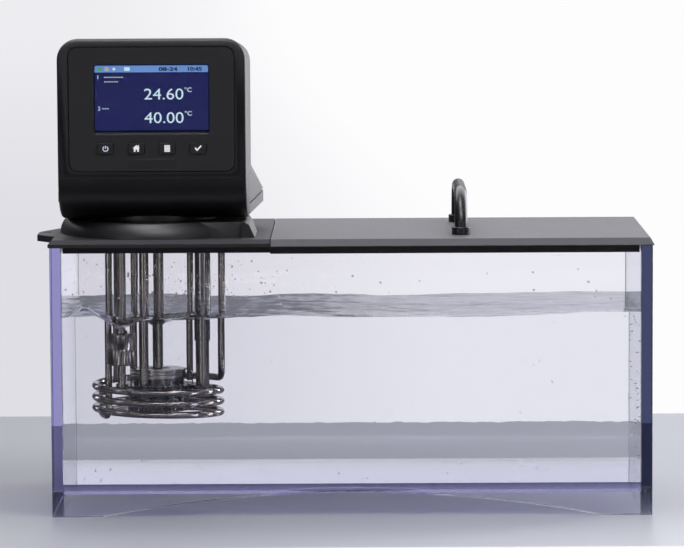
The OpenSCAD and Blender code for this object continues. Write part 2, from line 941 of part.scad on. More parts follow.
module impeller() {
    color([0.2, 0.2, 0.22]) axis_frame() difference() {
        union() {
            post(hub_radius, impeller_bottom, impeller_top);
            for (i = [0:impeller_blades - 1]) {
                rotate([0, 0, 360 * i / impeller_blades]) block(
                    [0, -blade_thickness / 2, impeller_bottom],
                    [impeller_radius, blade_thickness / 2, impeller_top]
                );
            }
        }
        post(shaft_radius, impeller_bottom - cut, impeller_top + cut);
    }
}

module motor_fan() {
    color([0.2, 0.2, 0.22]) axis_frame() difference() {
        union() {
            post(fan_hub, fan_bottom, fan_top);
            for (i = [0:fan_blades - 1]) {
                rotate([0, 0, 360 * i / fan_blades]) translate([0, 0, (fan_bottom + fan_top) / 2])
                    rotate([fan_lean, 0, 0]) block(
                        [shaft_radius, -fan_height / 2, -blade_thickness / 2],
                        [fan_radius, fan_height / 2, blade_thickness / 2]
                    );
            }
        }
        post(shaft_radius, fan_bottom - fan_gap, fan_top + fan_gap);
    }
}

// Head, drawn round the circulator's axis
half_width = head_width / 2;
face_y = -face_reach;
bezel_back = face_y + face_thickness;
fascia_flange = 2;
flange_back = bezel_back + fascia_flange;
fascia_left = -fascia_width / 2;
// Margin of the fascia's hidden flange
flange_margin = 2;
// Steps round the face's rounded front edge
round_steps = 3;
// Thickness of the thin outlines that the shells are blended between
sliver = 0.2;

// Face outline with rounded top corners and square bottom corners, drawn in X and Z
module face_outline(half, bottom, top, corner) {
    polygon(concat(
        [[-half, bottom], [half, bottom]],
        corner_arc([half - corner, top - corner], corner, 0),
        corner_arc([corner - half, top - corner], corner, 90)
    ));
}

module head_bezel() {
    color([0.15, 0.15, 0.16]) axis_frame() difference() {
        hull() {
            for (i = [0:round_steps]) {
                inset = edge_round * (1 - sin(90 * i / round_steps));
                depth = edge_round * (1 - cos(90 * i / round_steps));
                upright(face_y + depth, bezel_back)
                    face_outline(half_width - inset, face_seam, head_top - inset, face_corner - inset);
            }
        }
        upright(face_y - cut, bezel_back + cut) soft_rectangle(
            [fascia_left - fascia_groove, fascia_bottom - fascia_groove],
            [-fascia_left + fascia_groove, fascia_bottom + fascia_height + fascia_groove],
            fascia_corner + fascia_groove
        );
    }
}

// Posts on the fascia's back that carry the control board
board_gap = 6.6;
board_back = flange_back + board_gap;
board_thickness = 1.6;
// Inset of the board's sides and of its posts from the fascia's sides
board_side_inset = 3;
post_side_inset = 7;
board_half_width = fascia_width / 2 - board_side_inset;
board_post_radius = 3;
board_post_x = fascia_width / 2 - post_side_inset;
// Inset of the board's edges and of its posts from the fascia's upper and lower edges
board_inset = 1.5;
post_inset = 4.5;
board_half_height = fascia_height / 2 - board_inset;
board_post_rise = fascia_height / 2 - post_inset;

module key_window(play) {
    for (i = [0:3]) {
        translate([(i - 1.5) * key_pitch, key_middle]) soft_rectangle(
            [-key_width / 2 - play, -key_height / 2 - play],
            [key_width / 2 + play, key_height / 2 + play],
            key_corner + play
        );
    }
}

module window_outline() {
    soft_rectangle(
        [-window_width / 2, window_bottom],
        [window_width / 2, window_bottom + window_height],
        window_corner
    );
}

module surround_outline() {
    soft_rectangle(
        [-surround_width / 2, surround_bottom],
        [surround_width / 2, surround_bottom + surround_height],
        window_corner + surround_side
    );
}

module head_fascia() {
    window_front = face_y + window_setback;
    color([0.13, 0.13, 0.14]) axis_frame() {
        difference() {
            union() {
                upright(face_y, bezel_back) soft_rectangle(
                    [fascia_left, fascia_bottom],
                    [-fascia_left, fascia_bottom + fascia_height],
                    fascia_corner
                );
                upright(bezel_back, flange_back) soft_rectangle(
                    [fascia_left - flange_margin, fascia_bottom - flange_margin],
                    [-fascia_left + flange_margin, fascia_bottom + fascia_height + flange_margin],
                    fascia_corner
                );
            }
            hull() {
                upright(face_y - sliver, face_y) surround_outline();
                upright(window_front, flange_back + cut) window_outline();
            }
            upright(face_y - cut, flange_back + cut) key_window(key_play);
        }
        for (x = [-board_post_x, board_post_x], rise = [-board_post_rise, board_post_rise]) {
            translate([x, board_back, fascia_middle + rise]) rotate([90, 0, 0])
                cylinder(r = board_post_radius, h = board_gap);
        }
    }
}

// Heights of the sloping top at the shell seam, at the end of the straight sides and at the rear wall
shell_step = 0.6;
seam_top = head_top - shell_step - top_fall;
side_fall = 2.4;
side_top = seam_top - side_fall;
rear_fall = 7;
rear_top = side_top - rear_fall;
rear_half = 64;
rear_rise = 6;

module shell_slice(y, half, bottom, top, corner) {
    upright(y, y + sliver) face_outline(half, bottom, top, corner);
}

module side_shell() {
    inner_corner = face_corner - shell_wall;
    color([0.15, 0.15, 0.16]) axis_frame() difference() {
        hull() {
            shell_slice(bezel_back, half_width, face_seam, head_top - shell_step, face_corner);
            shell_slice(shell_seam - sliver, half_width, face_seam, seam_top, face_corner);
        }
        hull() {
            shell_slice(
                bezel_back - cut, half_width - shell_wall, face_seam - cut,
                head_top - shell_step - shell_wall, inner_corner
            );
            shell_slice(
                shell_seam + cut, half_width - shell_wall, face_seam - cut,
                seam_top - shell_wall, inner_corner
            );
        }
    }
}

// Front curve of the chin: one bow from the face seam back to the flat underside
chin_steps = 12;
chin_bow_reach = 2;
chin_bow_drop = 35;
chin_flat = 25;

function bow(a, b, c, t) = (1 - t) * (1 - t) * a + 2 * t * (1 - t) * b + t * t * c;
function chin_bow(inset) = [
    for (i = [0:chin_steps]) bow(
        [face_y + inset, face_seam],
        [face_y + chin_bow_reach + inset, face_seam - chin_bow_drop + inset / 2],
        [-chin_flat, head_bottom + inset],
        i / chin_steps
    )
];

module chin_slab(half, inset) {
    sideways(-half, half) polygon(concat(
        chin_bow(inset),
        [[shell_seam, head_bottom + inset], [shell_seam, face_seam]]
    ));
}

module chin_cover() {
    color([0.13, 0.13, 0.14]) axis_frame() difference() {
        hull() {
            for (i = [0:round_steps]) {
                chin_slab(
                    half_width - edge_round * (1 - cos(90 * i / round_steps)),
                    edge_round * (1 - sin(90 * i / round_steps))
                );
            }
        }
        sideways(shell_wall - half_width, half_width - shell_wall) polygon(concat(
            [[face_y + shell_wall, face_seam + cut]],
            chin_bow(shell_wall),
            [[shell_seam + cut, head_bottom + shell_wall], [shell_seam + cut, face_seam + cut]]
        ));
        post(swivel_radius, head_bottom - cut, face_seam);
    }
}

module swivel_ring() {
    color([0.2, 0.2, 0.21]) axis_frame() ring(
        swivel_radius, swivel_bore,
        base_top + washer_thickness, base_top + washer_thickness + swivel_height
    );
}

// Flanks of the rear shell: each swells out from the side, is widest at its middle and closes in behind
flank_front = 10;
flank_widest = 50;
flank_top_rise = 38.7;
flank_knee_rise = 18.5;
flank_heel_rise = 7.8;
// Reach of the flank past the narrow rear wall
flank_tail = 4;
// Groove round the flank: its start above the head's underside, its climb towards the back, width and depth
flank_groove_rise = 8;
flank_groove_lean = 12.5;
flank_groove_width = 2;
flank_groove_depth = 1;

module flank_slice(y, half, reach, rise) {
    upright(y, y + sliver) polygon([
        [half - shell_wall, head_bottom + flank_top_rise],
        [half, head_bottom + flank_top_rise],
        [half + reach, head_bottom + flank_knee_rise],
        [half + reach, head_bottom + flank_heel_rise],
        [half, head_bottom + rise],
        [half - shell_wall, head_bottom + rear_rise]
    ]);
}

// Solid flank, drawn in by the given inset on its outer side
module flank_form(inset) {
    hull() {
        flank_slice(flank_front, half_width - inset, 0, 0);
        flank_slice(flank_widest, half_width - inset, flank_reach, 0);
        flank_slice(back_reach - sliver, rear_half - inset, flank_tail, rear_rise);
    }
}

module flank() {
    difference() {
        flank_form(0);
        difference() {
            translate([half_width, flank_front, head_bottom + flank_groove_rise])
                rotate([flank_groove_lean, 0, 0]) block(
                    [0, -back_reach, 0],
                    [2 * flank_reach, 2 * back_reach, flank_groove_width]
                );
            flank_form(flank_groove_depth);
        }
    }
}

// Bosses inside the rear wall that carry the power board
power_boss_radius = 3.5;
power_boss_x = 48;
power_board_half = 54;
power_board_front = 68;
power_board_low = 46;
power_board_high = 108;
boss_inset = 5;
board_rise_low = power_board_low + boss_inset;
board_rise_high = power_board_high - boss_inset;

// Vent slots in the rear wall
slot_count = 9;
slot_pitch = 7;
slot_width = 3;
slot_height = 34;
slot_left = -28;
slot_rise = 112;

// Mains inlet: cut-out, flange and recess of the usual panel socket
inlet_x = -20;
inlet_rise = 26;
cutout_width = 27.6;
cutout_height = 20.2;
inlet_flange_width = 50;
inlet_flange_height = 23;
inlet_flange = 2.5;
inlet_depth = 17;
recess_width = 24.4;
recess_height = 16.8;
recess_depth = 16;
pin_length = 12;
pin_width = 2;
pin_height = 4;
pin_spread = 7;
earth_rise = 4;
earth_drop = 2;

module inlet_frame() {
    axis_frame() translate([inlet_x, back_reach, head_bottom + inlet_rise]) children();
}

module centred_plate(width, height, front, back) {
    block([-width / 2, front, -height / 2], [width / 2, back, height / 2]);
}

module rear_shell() {
    inner_corner = face_corner - shell_wall;
    inner_back = back_reach - shell_wall;
    color([0.15, 0.15, 0.16]) {
        difference() {
            axis_frame() union() {
                hull() {
                    shell_slice(shell_seam, half_width, head_bottom, seam_top, face_corner);
                    shell_slice(side_reach, half_width, head_bottom, side_top, face_corner);
                    shell_slice(
                        back_reach - sliver, rear_half, head_bottom + rear_rise, rear_top, face_corner
                    );
                }
                flank();
                mirror([1, 0, 0]) flank();
            }
            axis_frame() hull() {
                shell_slice(
                    shell_seam - cut, half_width - shell_wall, head_bottom + shell_wall,
                    seam_top - shell_wall, inner_corner
                );
                shell_slice(
                    side_reach - shell_wall, half_width - shell_wall, head_bottom + shell_wall,
                    side_top - shell_wall, inner_corner
                );
                shell_slice(
                    inner_back - sliver, rear_half - shell_wall, head_bottom + rear_rise + shell_wall,
                    rear_top - shell_wall, inner_corner
                );
            }
            axis_frame() post(swivel_radius, head_bottom - cut, face_seam);
            inlet_frame() centred_plate(cutout_width, cutout_height, -inlet_depth, cut);
            axis_frame() for (i = [0:slot_count - 1]) {
                left = slot_left + i * slot_pitch;
                block(
                    [left, inner_back - cut, head_bottom + slot_rise - slot_height],
                    [left + slot_width, back_reach + cut, head_bottom + slot_rise]
                );
            }
        }
        axis_frame() for (x = [-power_boss_x, power_boss_x], rise = [board_rise_low, board_rise_high]) {
            translate([x, inner_back, head_bottom + rise]) rotate([90, 0, 0])
                cylinder(r = power_boss_radius, h = inner_back - power_board_front - board_thickness);
        }
    }
}

module display_window() {
    color([0.05, 0.08, 0.3, 0.6]) axis_frame() upright(face_y + window_setback, flange_back) window_outline();
}

module display_module() {
    color([0.1, 0.15, 0.45]) axis_frame() translate([0, 0, window_middle])
        centred_plate(module_width, module_height, flange_back, flange_back + module_thickness);
}

module control_board() {
    color([0.08, 0.3, 0.16]) axis_frame() translate([0, 0, fascia_middle])
        centred_plate(2 * board_half_width, 2 * board_half_height, board_back, board_back + board_thickness);
}

// Keys: cap, hidden flange and stem; the stem stops short of its switch by a little over the travel
key_flange_margin = 1;
key_flange = 1;
key_stem_radius = 1.6;
key_stem = 1.4;
switch_spare = 0.3;
switch_front = flange_back + key_flange + key_stem + key_travel + switch_spare;
switch_half = 3;

module key_switches() {
    color([0.12, 0.12, 0.13]) axis_frame() for (i = [0:3]) {
        translate([(i - 1.5) * key_pitch, 0, key_middle])
            centred_plate(2 * switch_half, 2 * switch_half, switch_front, board_back);
    }
}

module key(i) {
    half_x = key_width / 2;
    half_z = key_height / 2;
    color([0.1, 0.1, 0.11]) axis_frame() translate([(i - 1.5) * key_pitch, 0, key_middle]) {
        upright(face_y - key_proud, flange_back)
            soft_rectangle([-half_x, -half_z], [half_x, half_z], key_corner);
        centred_plate(
            key_width + 2 * key_flange_margin, key_height + 2 * key_flange_margin,
            flange_back, flange_back + key_flange
        );
        translate([0, flange_back + key_flange + key_stem, 0]) rotate([90, 0, 0])
            cylinder(r = key_stem_radius, h = key_stem);
    }
}

module key_power() {
    key(0);
}

module key_home() {
    key(1);
}

module key_menu() {
    key(2);
}

module key_set() {
    key(3);
}

module power_board() {
    color([0.1, 0.32, 0.18]) axis_frame() block(
        [-power_board_half, power_board_front, head_bottom + power_board_low],
        [power_board_half, power_board_front + board_thickness, head_bottom + power_board_high]
    );
}

// Heat sink on the power board: a plate with upright fins
sink_half = 30;
sink_low = 56;
sink_high = 92;
sink_plate = 3;
fin_depth = 9;
fin_count = 9;
fin_thickness = 1.8;

module heat_sink() {
    plate_front = power_board_front - sink_plate;
    fin_pitch = (2 * sink_half - fin_thickness) / (fin_count - 1);
    color([0.7, 0.7, 0.72]) axis_frame() translate([0, 0, head_bottom]) {
        block([-sink_half, plate_front, sink_low], [sink_half, power_board_front, sink_high]);
        for (i = [0:fin_count - 1]) {
            left = i * fin_pitch - sink_half;
            block([left, plate_front - fin_depth, sink_low], [left + fin_thickness, plate_front, sink_high]);
        }
    }
}

module power_inlet() {
    color([0.06, 0.06, 0.07]) inlet_frame() difference() {
        union() {
            centred_plate(inlet_flange_width, inlet_flange_height, 0, inlet_flange);
            centred_plate(cutout_width, cutout_height, -inlet_depth, 0);
        }
        centred_plate(recess_width, recess_height, inlet_flange - recess_depth, inlet_flange + cut);
    }
}

module inlet_pins() {
    back = inlet_flange - recess_depth;
    color([0.8, 0.7, 0.4]) inlet_frame() {
        for (x = [-pin_spread, pin_spread]) {
            translate([x, 0, -earth_drop]) centred_plate(pin_width, pin_height, back, back + pin_length);
        }
        translate([0, 0, earth_rise - earth_drop]) centred_plate(pin_width, pin_height, back, back + pin_length);
    }
}

// Screw heads on the rear wall
screw_x = 52;
screw_low = 16;
screw_high = 122;
screw_radius = 3;
screw_head = 1.6;

module shell_screws() {
    color([0.3, 0.3, 0.31]) axis_frame() for (x = [-screw_x, screw_x], rise = [screw_low, screw_high]) {
        translate([x, back_reach + screw_head, head_bottom + rise]) rotate([90, 0, 0])
            cylinder(r = screw_radius, h = screw_head);
    }
}

// Lid

// Countersunk screws under the lid that hold the handle
lid_screw_radius = 2.5;
lid_screw_head = 4.5;
lid_screw_depth = 2;
foot_y = handle_span / 2;

module lid_screw() {
    translate([0, 0, tank_height])
        cylinder(r1 = lid_screw_head, r2 = lid_screw_radius, h = lid_screw_depth);
    post(lid_screw_radius, tank_height, plate_top);
}

module at_feet() {
    tank_frame() for (y = [-foot_y, foot_y]) {
        translate([lid_middle, y, 0]) children();
    }
}

module lid_plate() {
    color([0.45, 0.45, 0.47]) difference() {
        tank_frame() bevelled_slab(lid_left, rim_x, lid_lip, 0, bevel_width);
        at_feet() {
            lid_screw();
            post(lid_screw_head, tank_height - cut, tank_height);
            post(lid_screw_radius, tank_height, plate_top + cut);
        }
    }
}

module lid_skirt() {
    left = lid_left;
    right = inner_half - plug_play;
    reach = inner_depth_half - plug_play;
    bottom = plug_bottom - skirt_drop;
    color([0.12, 0.1, 0.09]) tank_frame() difference() {
        block([left, -reach, bottom], [right, reach, tank_height]);
        block(
            [left + skirt_thickness, skirt_thickness - reach, bottom - cut],
            [right - skirt_thickness, reach - skirt_thickness, tank_height + cut]
        );
    }
}

handle_axis_top = plate_top + handle_height - handle_bar / 2;
handle_bend_z = handle_axis_top - handle_bend;
handle_bend_y = foot_y - handle_bend;

// One half of the handle: leg, quarter bend and half of the straight grip
module handle_half() {
    translate([0, foot_y, 0]) post(handle_bar / 2, plate_top, handle_bend_z);
    translate([0, handle_bend_y, handle_bend_z]) rotate([90, 0, 90]) rotate_extrude(angle = 90)
        translate([handle_bend, 0]) circle(r = handle_bar / 2);
    translate([0, handle_bend_y, handle_axis_top]) rotate([90, 0, 0])
        cylinder(r = handle_bar / 2, h = handle_bend_y);
}

module lid_handle() {
    color([0.12, 0.12, 0.13]) tank_frame() translate([lid_middle, 0, 0]) {
        handle_half();
        mirror([0, 1, 0]) handle_half();
    }
}

module handle_collars() {
    color([0.12, 0.12, 0.13]) at_feet()
        ring(collar_diameter / 2, handle_bar / 2, plate_top, plate_top + collar_height);
}

module handle_screws() {
    color([0.6, 0.6, 0.62]) at_feet() lid_screw();
}

left_end_wall();
right_end_wall();
front_panel();
back_panel();
tank_floor();
bridge_plate();
mounting_plate();
shaft_bearing();
base_housing();
corner_cover();
swivel_washer();
retaining_ring();
motor_flange();
motor();
heater_terminals();
pump_column_front();
pump_column_rear();
sleeved_column_tube();
column_sleeve();
temperature_probe();
probe_clip();
pump_cover();
pump_body();
heater_coil();
float_stem();
float_stops();
float_body();
drive_shaft();
shaft_coupling();
impeller();
motor_fan();
head_bezel();
head_fascia();
side_shell();
chin_cover();
rear_shell();
swivel_ring();
display_window();
display_module();
control_board();
key_switches();
key_power();
key_home();
key_menu();
key_set();
power_board();
heat_sink();
power_inlet();
inlet_pins();
shell_screws();
lid_plate();
lid_skirt();
lid_handle();
handle_collars();
handle_screws();
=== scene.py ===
"""Looks of the laboratory water bath: clear acrylic tank of water, immersion circulator, lift-off lid."""

import json
import math
import random

import bmesh
import bpy
from mathutils import Matrix, Vector, noise

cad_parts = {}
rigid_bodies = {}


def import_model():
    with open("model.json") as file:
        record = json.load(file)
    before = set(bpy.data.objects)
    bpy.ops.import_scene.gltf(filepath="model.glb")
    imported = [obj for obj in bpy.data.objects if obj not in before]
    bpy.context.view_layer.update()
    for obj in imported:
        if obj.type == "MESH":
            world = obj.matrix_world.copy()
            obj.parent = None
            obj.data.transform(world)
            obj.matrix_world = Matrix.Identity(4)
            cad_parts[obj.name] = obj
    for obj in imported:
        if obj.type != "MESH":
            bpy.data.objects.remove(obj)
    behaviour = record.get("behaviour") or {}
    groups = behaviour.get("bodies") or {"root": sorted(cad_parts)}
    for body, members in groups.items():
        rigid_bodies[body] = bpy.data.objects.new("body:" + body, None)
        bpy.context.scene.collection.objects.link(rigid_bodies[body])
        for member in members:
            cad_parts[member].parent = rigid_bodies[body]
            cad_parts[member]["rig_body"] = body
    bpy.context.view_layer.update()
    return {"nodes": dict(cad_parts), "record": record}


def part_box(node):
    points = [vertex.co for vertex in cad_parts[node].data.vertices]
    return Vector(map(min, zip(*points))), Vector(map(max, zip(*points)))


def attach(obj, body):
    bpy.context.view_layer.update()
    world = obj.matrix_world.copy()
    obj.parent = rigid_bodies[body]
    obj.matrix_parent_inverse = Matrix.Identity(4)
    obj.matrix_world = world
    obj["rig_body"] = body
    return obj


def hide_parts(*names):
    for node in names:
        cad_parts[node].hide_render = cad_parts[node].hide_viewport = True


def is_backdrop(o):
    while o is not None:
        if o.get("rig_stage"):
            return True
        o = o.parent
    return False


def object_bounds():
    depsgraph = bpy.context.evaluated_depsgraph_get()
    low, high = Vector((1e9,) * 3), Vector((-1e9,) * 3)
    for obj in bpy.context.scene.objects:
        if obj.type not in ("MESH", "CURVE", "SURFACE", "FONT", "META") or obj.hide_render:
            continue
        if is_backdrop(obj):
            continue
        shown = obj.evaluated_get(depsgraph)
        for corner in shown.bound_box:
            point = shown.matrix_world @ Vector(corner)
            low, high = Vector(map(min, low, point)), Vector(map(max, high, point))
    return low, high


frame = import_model()

MM = 0.001
NODES = frame["nodes"]
SLOT_OF = {row["node"]: row["material_slot"] for row in frame["record"]["subparts"]}


# Colours and nodes

def linear(hex_colour):
    """An sRGB colour such as #8A8F96 as linear RGBA."""
    channels = [int(hex_colour[i:i + 2], 16) / 255 for i in (1, 3, 5)]
    return [c / 12.92 if c <= 0.04045 else ((c + 0.055) / 1.055) ** 2.4 for c in channels] + [1.0]


def add(tree, kind, values=None, links=None, **properties):
    """Adds a node with its properties, its input values and the sockets that its inputs are joined to."""
    node = tree.nodes.new(kind)
    for name, value in properties.items():
        setattr(node, name, value)
    for key, value in (values or {}).items():
        node.inputs[key].default_value = value
    for key, socket in (links or {}).items():
        tree.links.new(socket, node.inputs[key])
    return node


def new_material(name):
    made = bpy.data.materials.new(name)
    made.use_nodes = True
    made.node_tree.nodes.clear()
    return made, made.node_tree


def per_mm(size):
    """Noise scale, in Object coordinates, of a pattern whose grains are this many millimetres wide."""
    return 1 / (size * MM)


# Plastics

def moulded_plastic(name, dark, light, roughness, grain, relief, ior=1.5, blotch=45):
    """Injection-moulded plastic, spark-eroded grain: the eye sees a soft sheen broken up by fine specks."""
    made, tree = new_material(name)
    place = add(tree, "ShaderNodeTexCoord").outputs["Object"]
    fine = add(tree, "ShaderNodeTexNoise", {"Scale": per_mm(grain), "Detail": 2.0}, {"Vector": place})
    broad = add(tree, "ShaderNodeTexNoise", {"Scale": per_mm(blotch), "Detail": 3.0}, {"Vector": place})
    shade = add(
        tree, "ShaderNodeMix", {6: linear(dark), 7: linear(light)}, {0: broad.outputs["Fac"]},
        data_type="RGBA")
    rough = add(
        tree, "ShaderNodeMapRange",
        {"From Min": 0.3, "From Max": 0.7, "To Min": roughness - 0.05, "To Max": roughness + 0.05},
        {"Value": fine.outputs["Fac"]})
    bump = add(
        tree, "ShaderNodeBump", {"Strength": 0.6, "Distance": relief * MM}, {"Height": fine.outputs["Fac"]})
    skin = add(
        tree, "ShaderNodeBsdfPrincipled", {"IOR": ior},
        {"Base Color": shade.outputs[2], "Roughness": rough.outputs["Result"],
         "Normal": bump.outputs["Normal"]})
    add(tree, "ShaderNodeOutputMaterial", links={"Surface": skin.outputs[0]})
    return made


# The real grain is about 0.1 mm; it is drawn near 1 mm wide so that it shows at the photograph's size
head_abs = moulded_plastic("ABS_moulded_head", "#1E1E20", "#262629", 0.42, 1.1, 0.10)
# The chin's plastic is a darker copy of the head's: painted shade for its downward-facing underside.
chin_abs_painted_shade = moulded_plastic("ABS_moulded_chin_painted_shade", "#131315", "#18181A", 0.42, 1.1, 0.10)
fascia_abs = moulded_plastic("ABS_moulded_fascia", "#212123", "#2A2A2C", 0.40, 1.0, 0.08)
base_abs = moulded_plastic("ABS_moulded_base", "#1F1F21", "#29292C", 0.40, 1.3, 0.14)
bridge_abs = moulded_plastic("ABS_moulded_bridge", "#2A2A2D", "#343437", 0.56, 1.4, 0.16, 1.34)
lid_abs = moulded_plastic("ABS_moulded_lid", "#3A3A3E", "#454549", 0.52, 1.3, 0.14)
skirt_abs = moulded_plastic("ABS_moulded_skirt", "#161413", "#1D1A18", 0.45, 1.5, 0.05)
handle_nylon = moulded_plastic("nylon_moulded_handle", "#1A191B", "#232225", 0.30, 1.2, 0.05)
key_rubber = moulded_plastic("silicone_moulded_keys", "#121213", "#19191B", 0.45, 0.9, 0.04)
bearing_pom = moulded_plastic("acetal_turned_bearings", "#232325", "#2B2B2D", 0.35, 1.5, 0.03)
switch_pa = moulded_plastic("nylon_moulded_switches", "#0E0E0F", "#151516", 0.38, 1.0, 0.05)


# Metals

def drawn_steel(name, dark, light, roughness, across, along, relief):
    """Metal drawn or turned and then polished: its fine lines blur its reflections across them."""
    made, tree = new_material(name)
    place = add(tree, "ShaderNodeTexCoord").outputs["Object"]
    stretch = add(
        tree, "ShaderNodeMapping",
        {"Scale": (per_mm(across), per_mm(across), per_mm(along))}, {"Vector": place})
    lines = add(
        tree, "ShaderNodeTexNoise", {"Scale": 1.0, "Detail": 3.0}, {"Vector": stretch.outputs["Vector"]})
    cloud = add(tree, "ShaderNodeTexNoise", {"Scale": per_mm(14), "Detail": 2.0}, {"Vector": place})
    shade = add(
        tree, "ShaderNodeMix", {6: linear(dark), 7: linear(light)}, {0: cloud.outputs["Fac"]},
        data_type="RGBA")
    rough = add(
        tree, "ShaderNodeMapRange",
        {"From Min": 0.3, "From Max": 0.7, "To Min": roughness - 0.04, "To Max": roughness + 0.05},
        {"Value": lines.outputs["Fac"]})
    bump = add(
        tree, "ShaderNodeBump", {"Strength": 0.5, "Distance": relief * MM}, {"Height": lines.outputs["Fac"]})
    skin = add(
        tree, "ShaderNodeBsdfPrincipled", {"Metallic": 1.0},
        {"Base Color": shade.outputs[2], "Roughness": rough.outputs["Result"],
         "Normal": bump.outputs["Normal"]})
    add(tree, "ShaderNodeOutputMaterial", links={"Surface": skin.outputs[0]})
    return made


tube_steel = drawn_steel("stainless_drawn_tube", "#8A8580", "#A6A19C", 0.16, 0.8, 30, 0.015)
turned_steel = drawn_steel("stainless_turned", "#7C7A79", "#989593", 0.14, 30, 0.8, 0.02)
satin_steel = drawn_steel("stainless_spun_satin", "#A5A29F", "#BAB7B3", 0.27, 30, 0.8, 0.02)
cast_steel = drawn_steel("stainless_cast_pump", "#6A6A6E", "#86868A", 0.26, 4, 4, 0.05)
zinc_steel = drawn_steel("steel_zinc_plated", "#5E5E62", "#77777B", 0.3, 1, 1, 0.02)
aluminium = drawn_steel("aluminium_machined", "#A7A8AC", "#BDBEC2", 0.32, 1, 12, 0.02)
bronze = drawn_steel("bronze_turned", "#8E6E3C", "#B08D52", 0.3, 6, 0.8, 0.02)


def painted_case(name, dark, light):
    """Motor case in baked enamel: smooth, with a faint orange peel."""
    made, tree = new_material(name)
    place = add(tree, "ShaderNodeTexCoord").outputs["Object"]
    peel = add(tree, "ShaderNodeTexNoise", {"Scale": per_mm(2.5), "Detail": 1.0}, {"Vector": place})
    shade = add(
        tree, "ShaderNodeMix", {6: linear(dark), 7: linear(light)}, {0: peel.outputs["Fac"]},
        data_type="RGBA")
    bump = add(
        tree, "ShaderNodeBump", {"Strength": 0.3, "Distance": 0.04 * MM}, {"Height": peel.outputs["Fac"]})
    skin = add(
        tree, "ShaderNodeBsdfPrincipled", {"Roughness": 0.35, "Coat Weight": 0.3},
        {"Base Color": shade.outputs[2], "Normal": bump.outputs["Normal"]})
    add(tree, "ShaderNodeOutputMaterial", links={"Surface": skin.outputs[0]})
    return made


motor_enamel = painted_case("enamel_baked_motor", "#222225", "#2D2D31")


def solder_mask(name):
    """Glass-fibre board under green solder mask: tracks show as slightly lighter bands."""
    made, tree = new_material(name)
    place = add(tree, "ShaderNodeTexCoord").outputs["Object"]
    tracks = add(
        tree, "ShaderNodeTexBrick",
        {"Color1": linear("#0E4A22"), "Color2": linear("#15592B"), "Mortar": linear("#1F6E38"),
         "Scale": per_mm(8), "Mortar Size": 0.03},
        {"Vector": place})
    skin = add(
        tree, "ShaderNodeBsdfPrincipled", {"Roughness": 0.3, "Coat Weight": 0.4},
        {"Base Color": tracks.outputs["Color"]})
    add(tree, "ShaderNodeOutputMaterial", links={"Surface": skin.outputs[0]})
    return made


board_mask = solder_mask("fibreglass_solder_masked")


# Clear materials

def clear_solid(name, colour, ior, absorb=None, density=0.0, wave=0.0, grain=8.0):
    """A clear solid or liquid. Rays of shadow and of diffuse light run straight through it, so that what is
    inside is lit as in air, and an absorption by depth gives long paths in the sheet their violet."""
    made, tree = new_material(name)
    place = add(tree, "ShaderNodeTexCoord").outputs["Object"]
    swell = add(tree, "ShaderNodeTexNoise", {"Scale": per_mm(grain), "Detail": 2.0}, {"Vector": place})
    bump = add(
        tree, "ShaderNodeBump", {"Strength": 0.5, "Distance": wave * MM}, {"Height": swell.outputs["Fac"]})
    solid = add(
        tree, "ShaderNodeBsdfPrincipled",
        {"Base Color": linear(colour), "IOR": ior, "Roughness": 0.0, "Transmission Weight": 1.0},
        {"Normal": bump.outputs["Normal"]})
    open_way = add(tree, "ShaderNodeBsdfTransparent", {"Color": linear("#EDEDF5")})
    path = add(tree, "ShaderNodeLightPath")
    straight = add(
        tree, "ShaderNodeMath", links={0: path.outputs["Is Shadow Ray"], 1: path.outputs["Is Diffuse Ray"]},
        operation="MAXIMUM")
    surface = add(
        tree, "ShaderNodeMixShader",
        links={0: straight.outputs[0], 1: solid.outputs[0], 2: open_way.outputs[0]})
    out = add(tree, "ShaderNodeOutputMaterial", links={"Surface": surface.outputs[0]})
    if absorb:
        depth = add(tree, "ShaderNodeVolumeAbsorption", {"Color": linear(absorb), "Density": density})
        tree.links.new(depth.outputs[0], out.inputs["Volume"])
    return made


# Cast acrylic: clear through its thickness, violet along the sheet; the right end wall is a bluer sheet
cast_acrylic = clear_solid("acrylic_cast_sheet", "#FFFFFF", 1.49, "#8F86D0", 8.0, 0.004, 30)
end_acrylic = clear_solid("acrylic_cast_end_wall", "#FFFFFF", 1.49, "#8F86D0", 8.0, 0.004, 30)
navy_acrylic = clear_solid("acrylic_cast_navy_end_wall", "#FFFFFF", 1.49, "#8892B8", 18.0, 0.004, 30)
bath_water = clear_solid("water_still_air_touched", "#FBFCFF", 1.333, None, 0.0, 0.05, 9)
droplet_water = clear_solid("water_droplets", "#F4F4FA", 1.333)
bubble_air = clear_solid("air_bubbles_in_water", "#FFFFFF", 1 / 1.333)
glue_air = clear_solid("air_bubbles_in_acrylic_cement", "#FFFFFF", 1 / 1.49)


def window_glass(name):
    """Hard-coated display window: nearly clear, with a clean gloss."""
    made, tree = new_material(name)
    place = add(tree, "ShaderNodeTexCoord").outputs["Object"]
    smear = add(tree, "ShaderNodeTexNoise", {"Scale": per_mm(25), "Detail": 2.0}, {"Vector": place})
    rough = add(
        tree, "ShaderNodeMapRange", {"To Min": 0.02, "To Max": 0.07}, {"Value": smear.outputs["Fac"]})
    skin = add(
        tree, "ShaderNodeBsdfPrincipled",
        {"Base Color": linear("#FFFFFF"), "IOR": 1.45, "Transmission Weight": 1.0},
        {"Roughness": rough.outputs["Result"]})
    add(tree, "ShaderNodeOutputMaterial", links={"Surface": skin.outputs[0]})
    return made


display_glass = window_glass("polycarbonate_hard_coated_window")


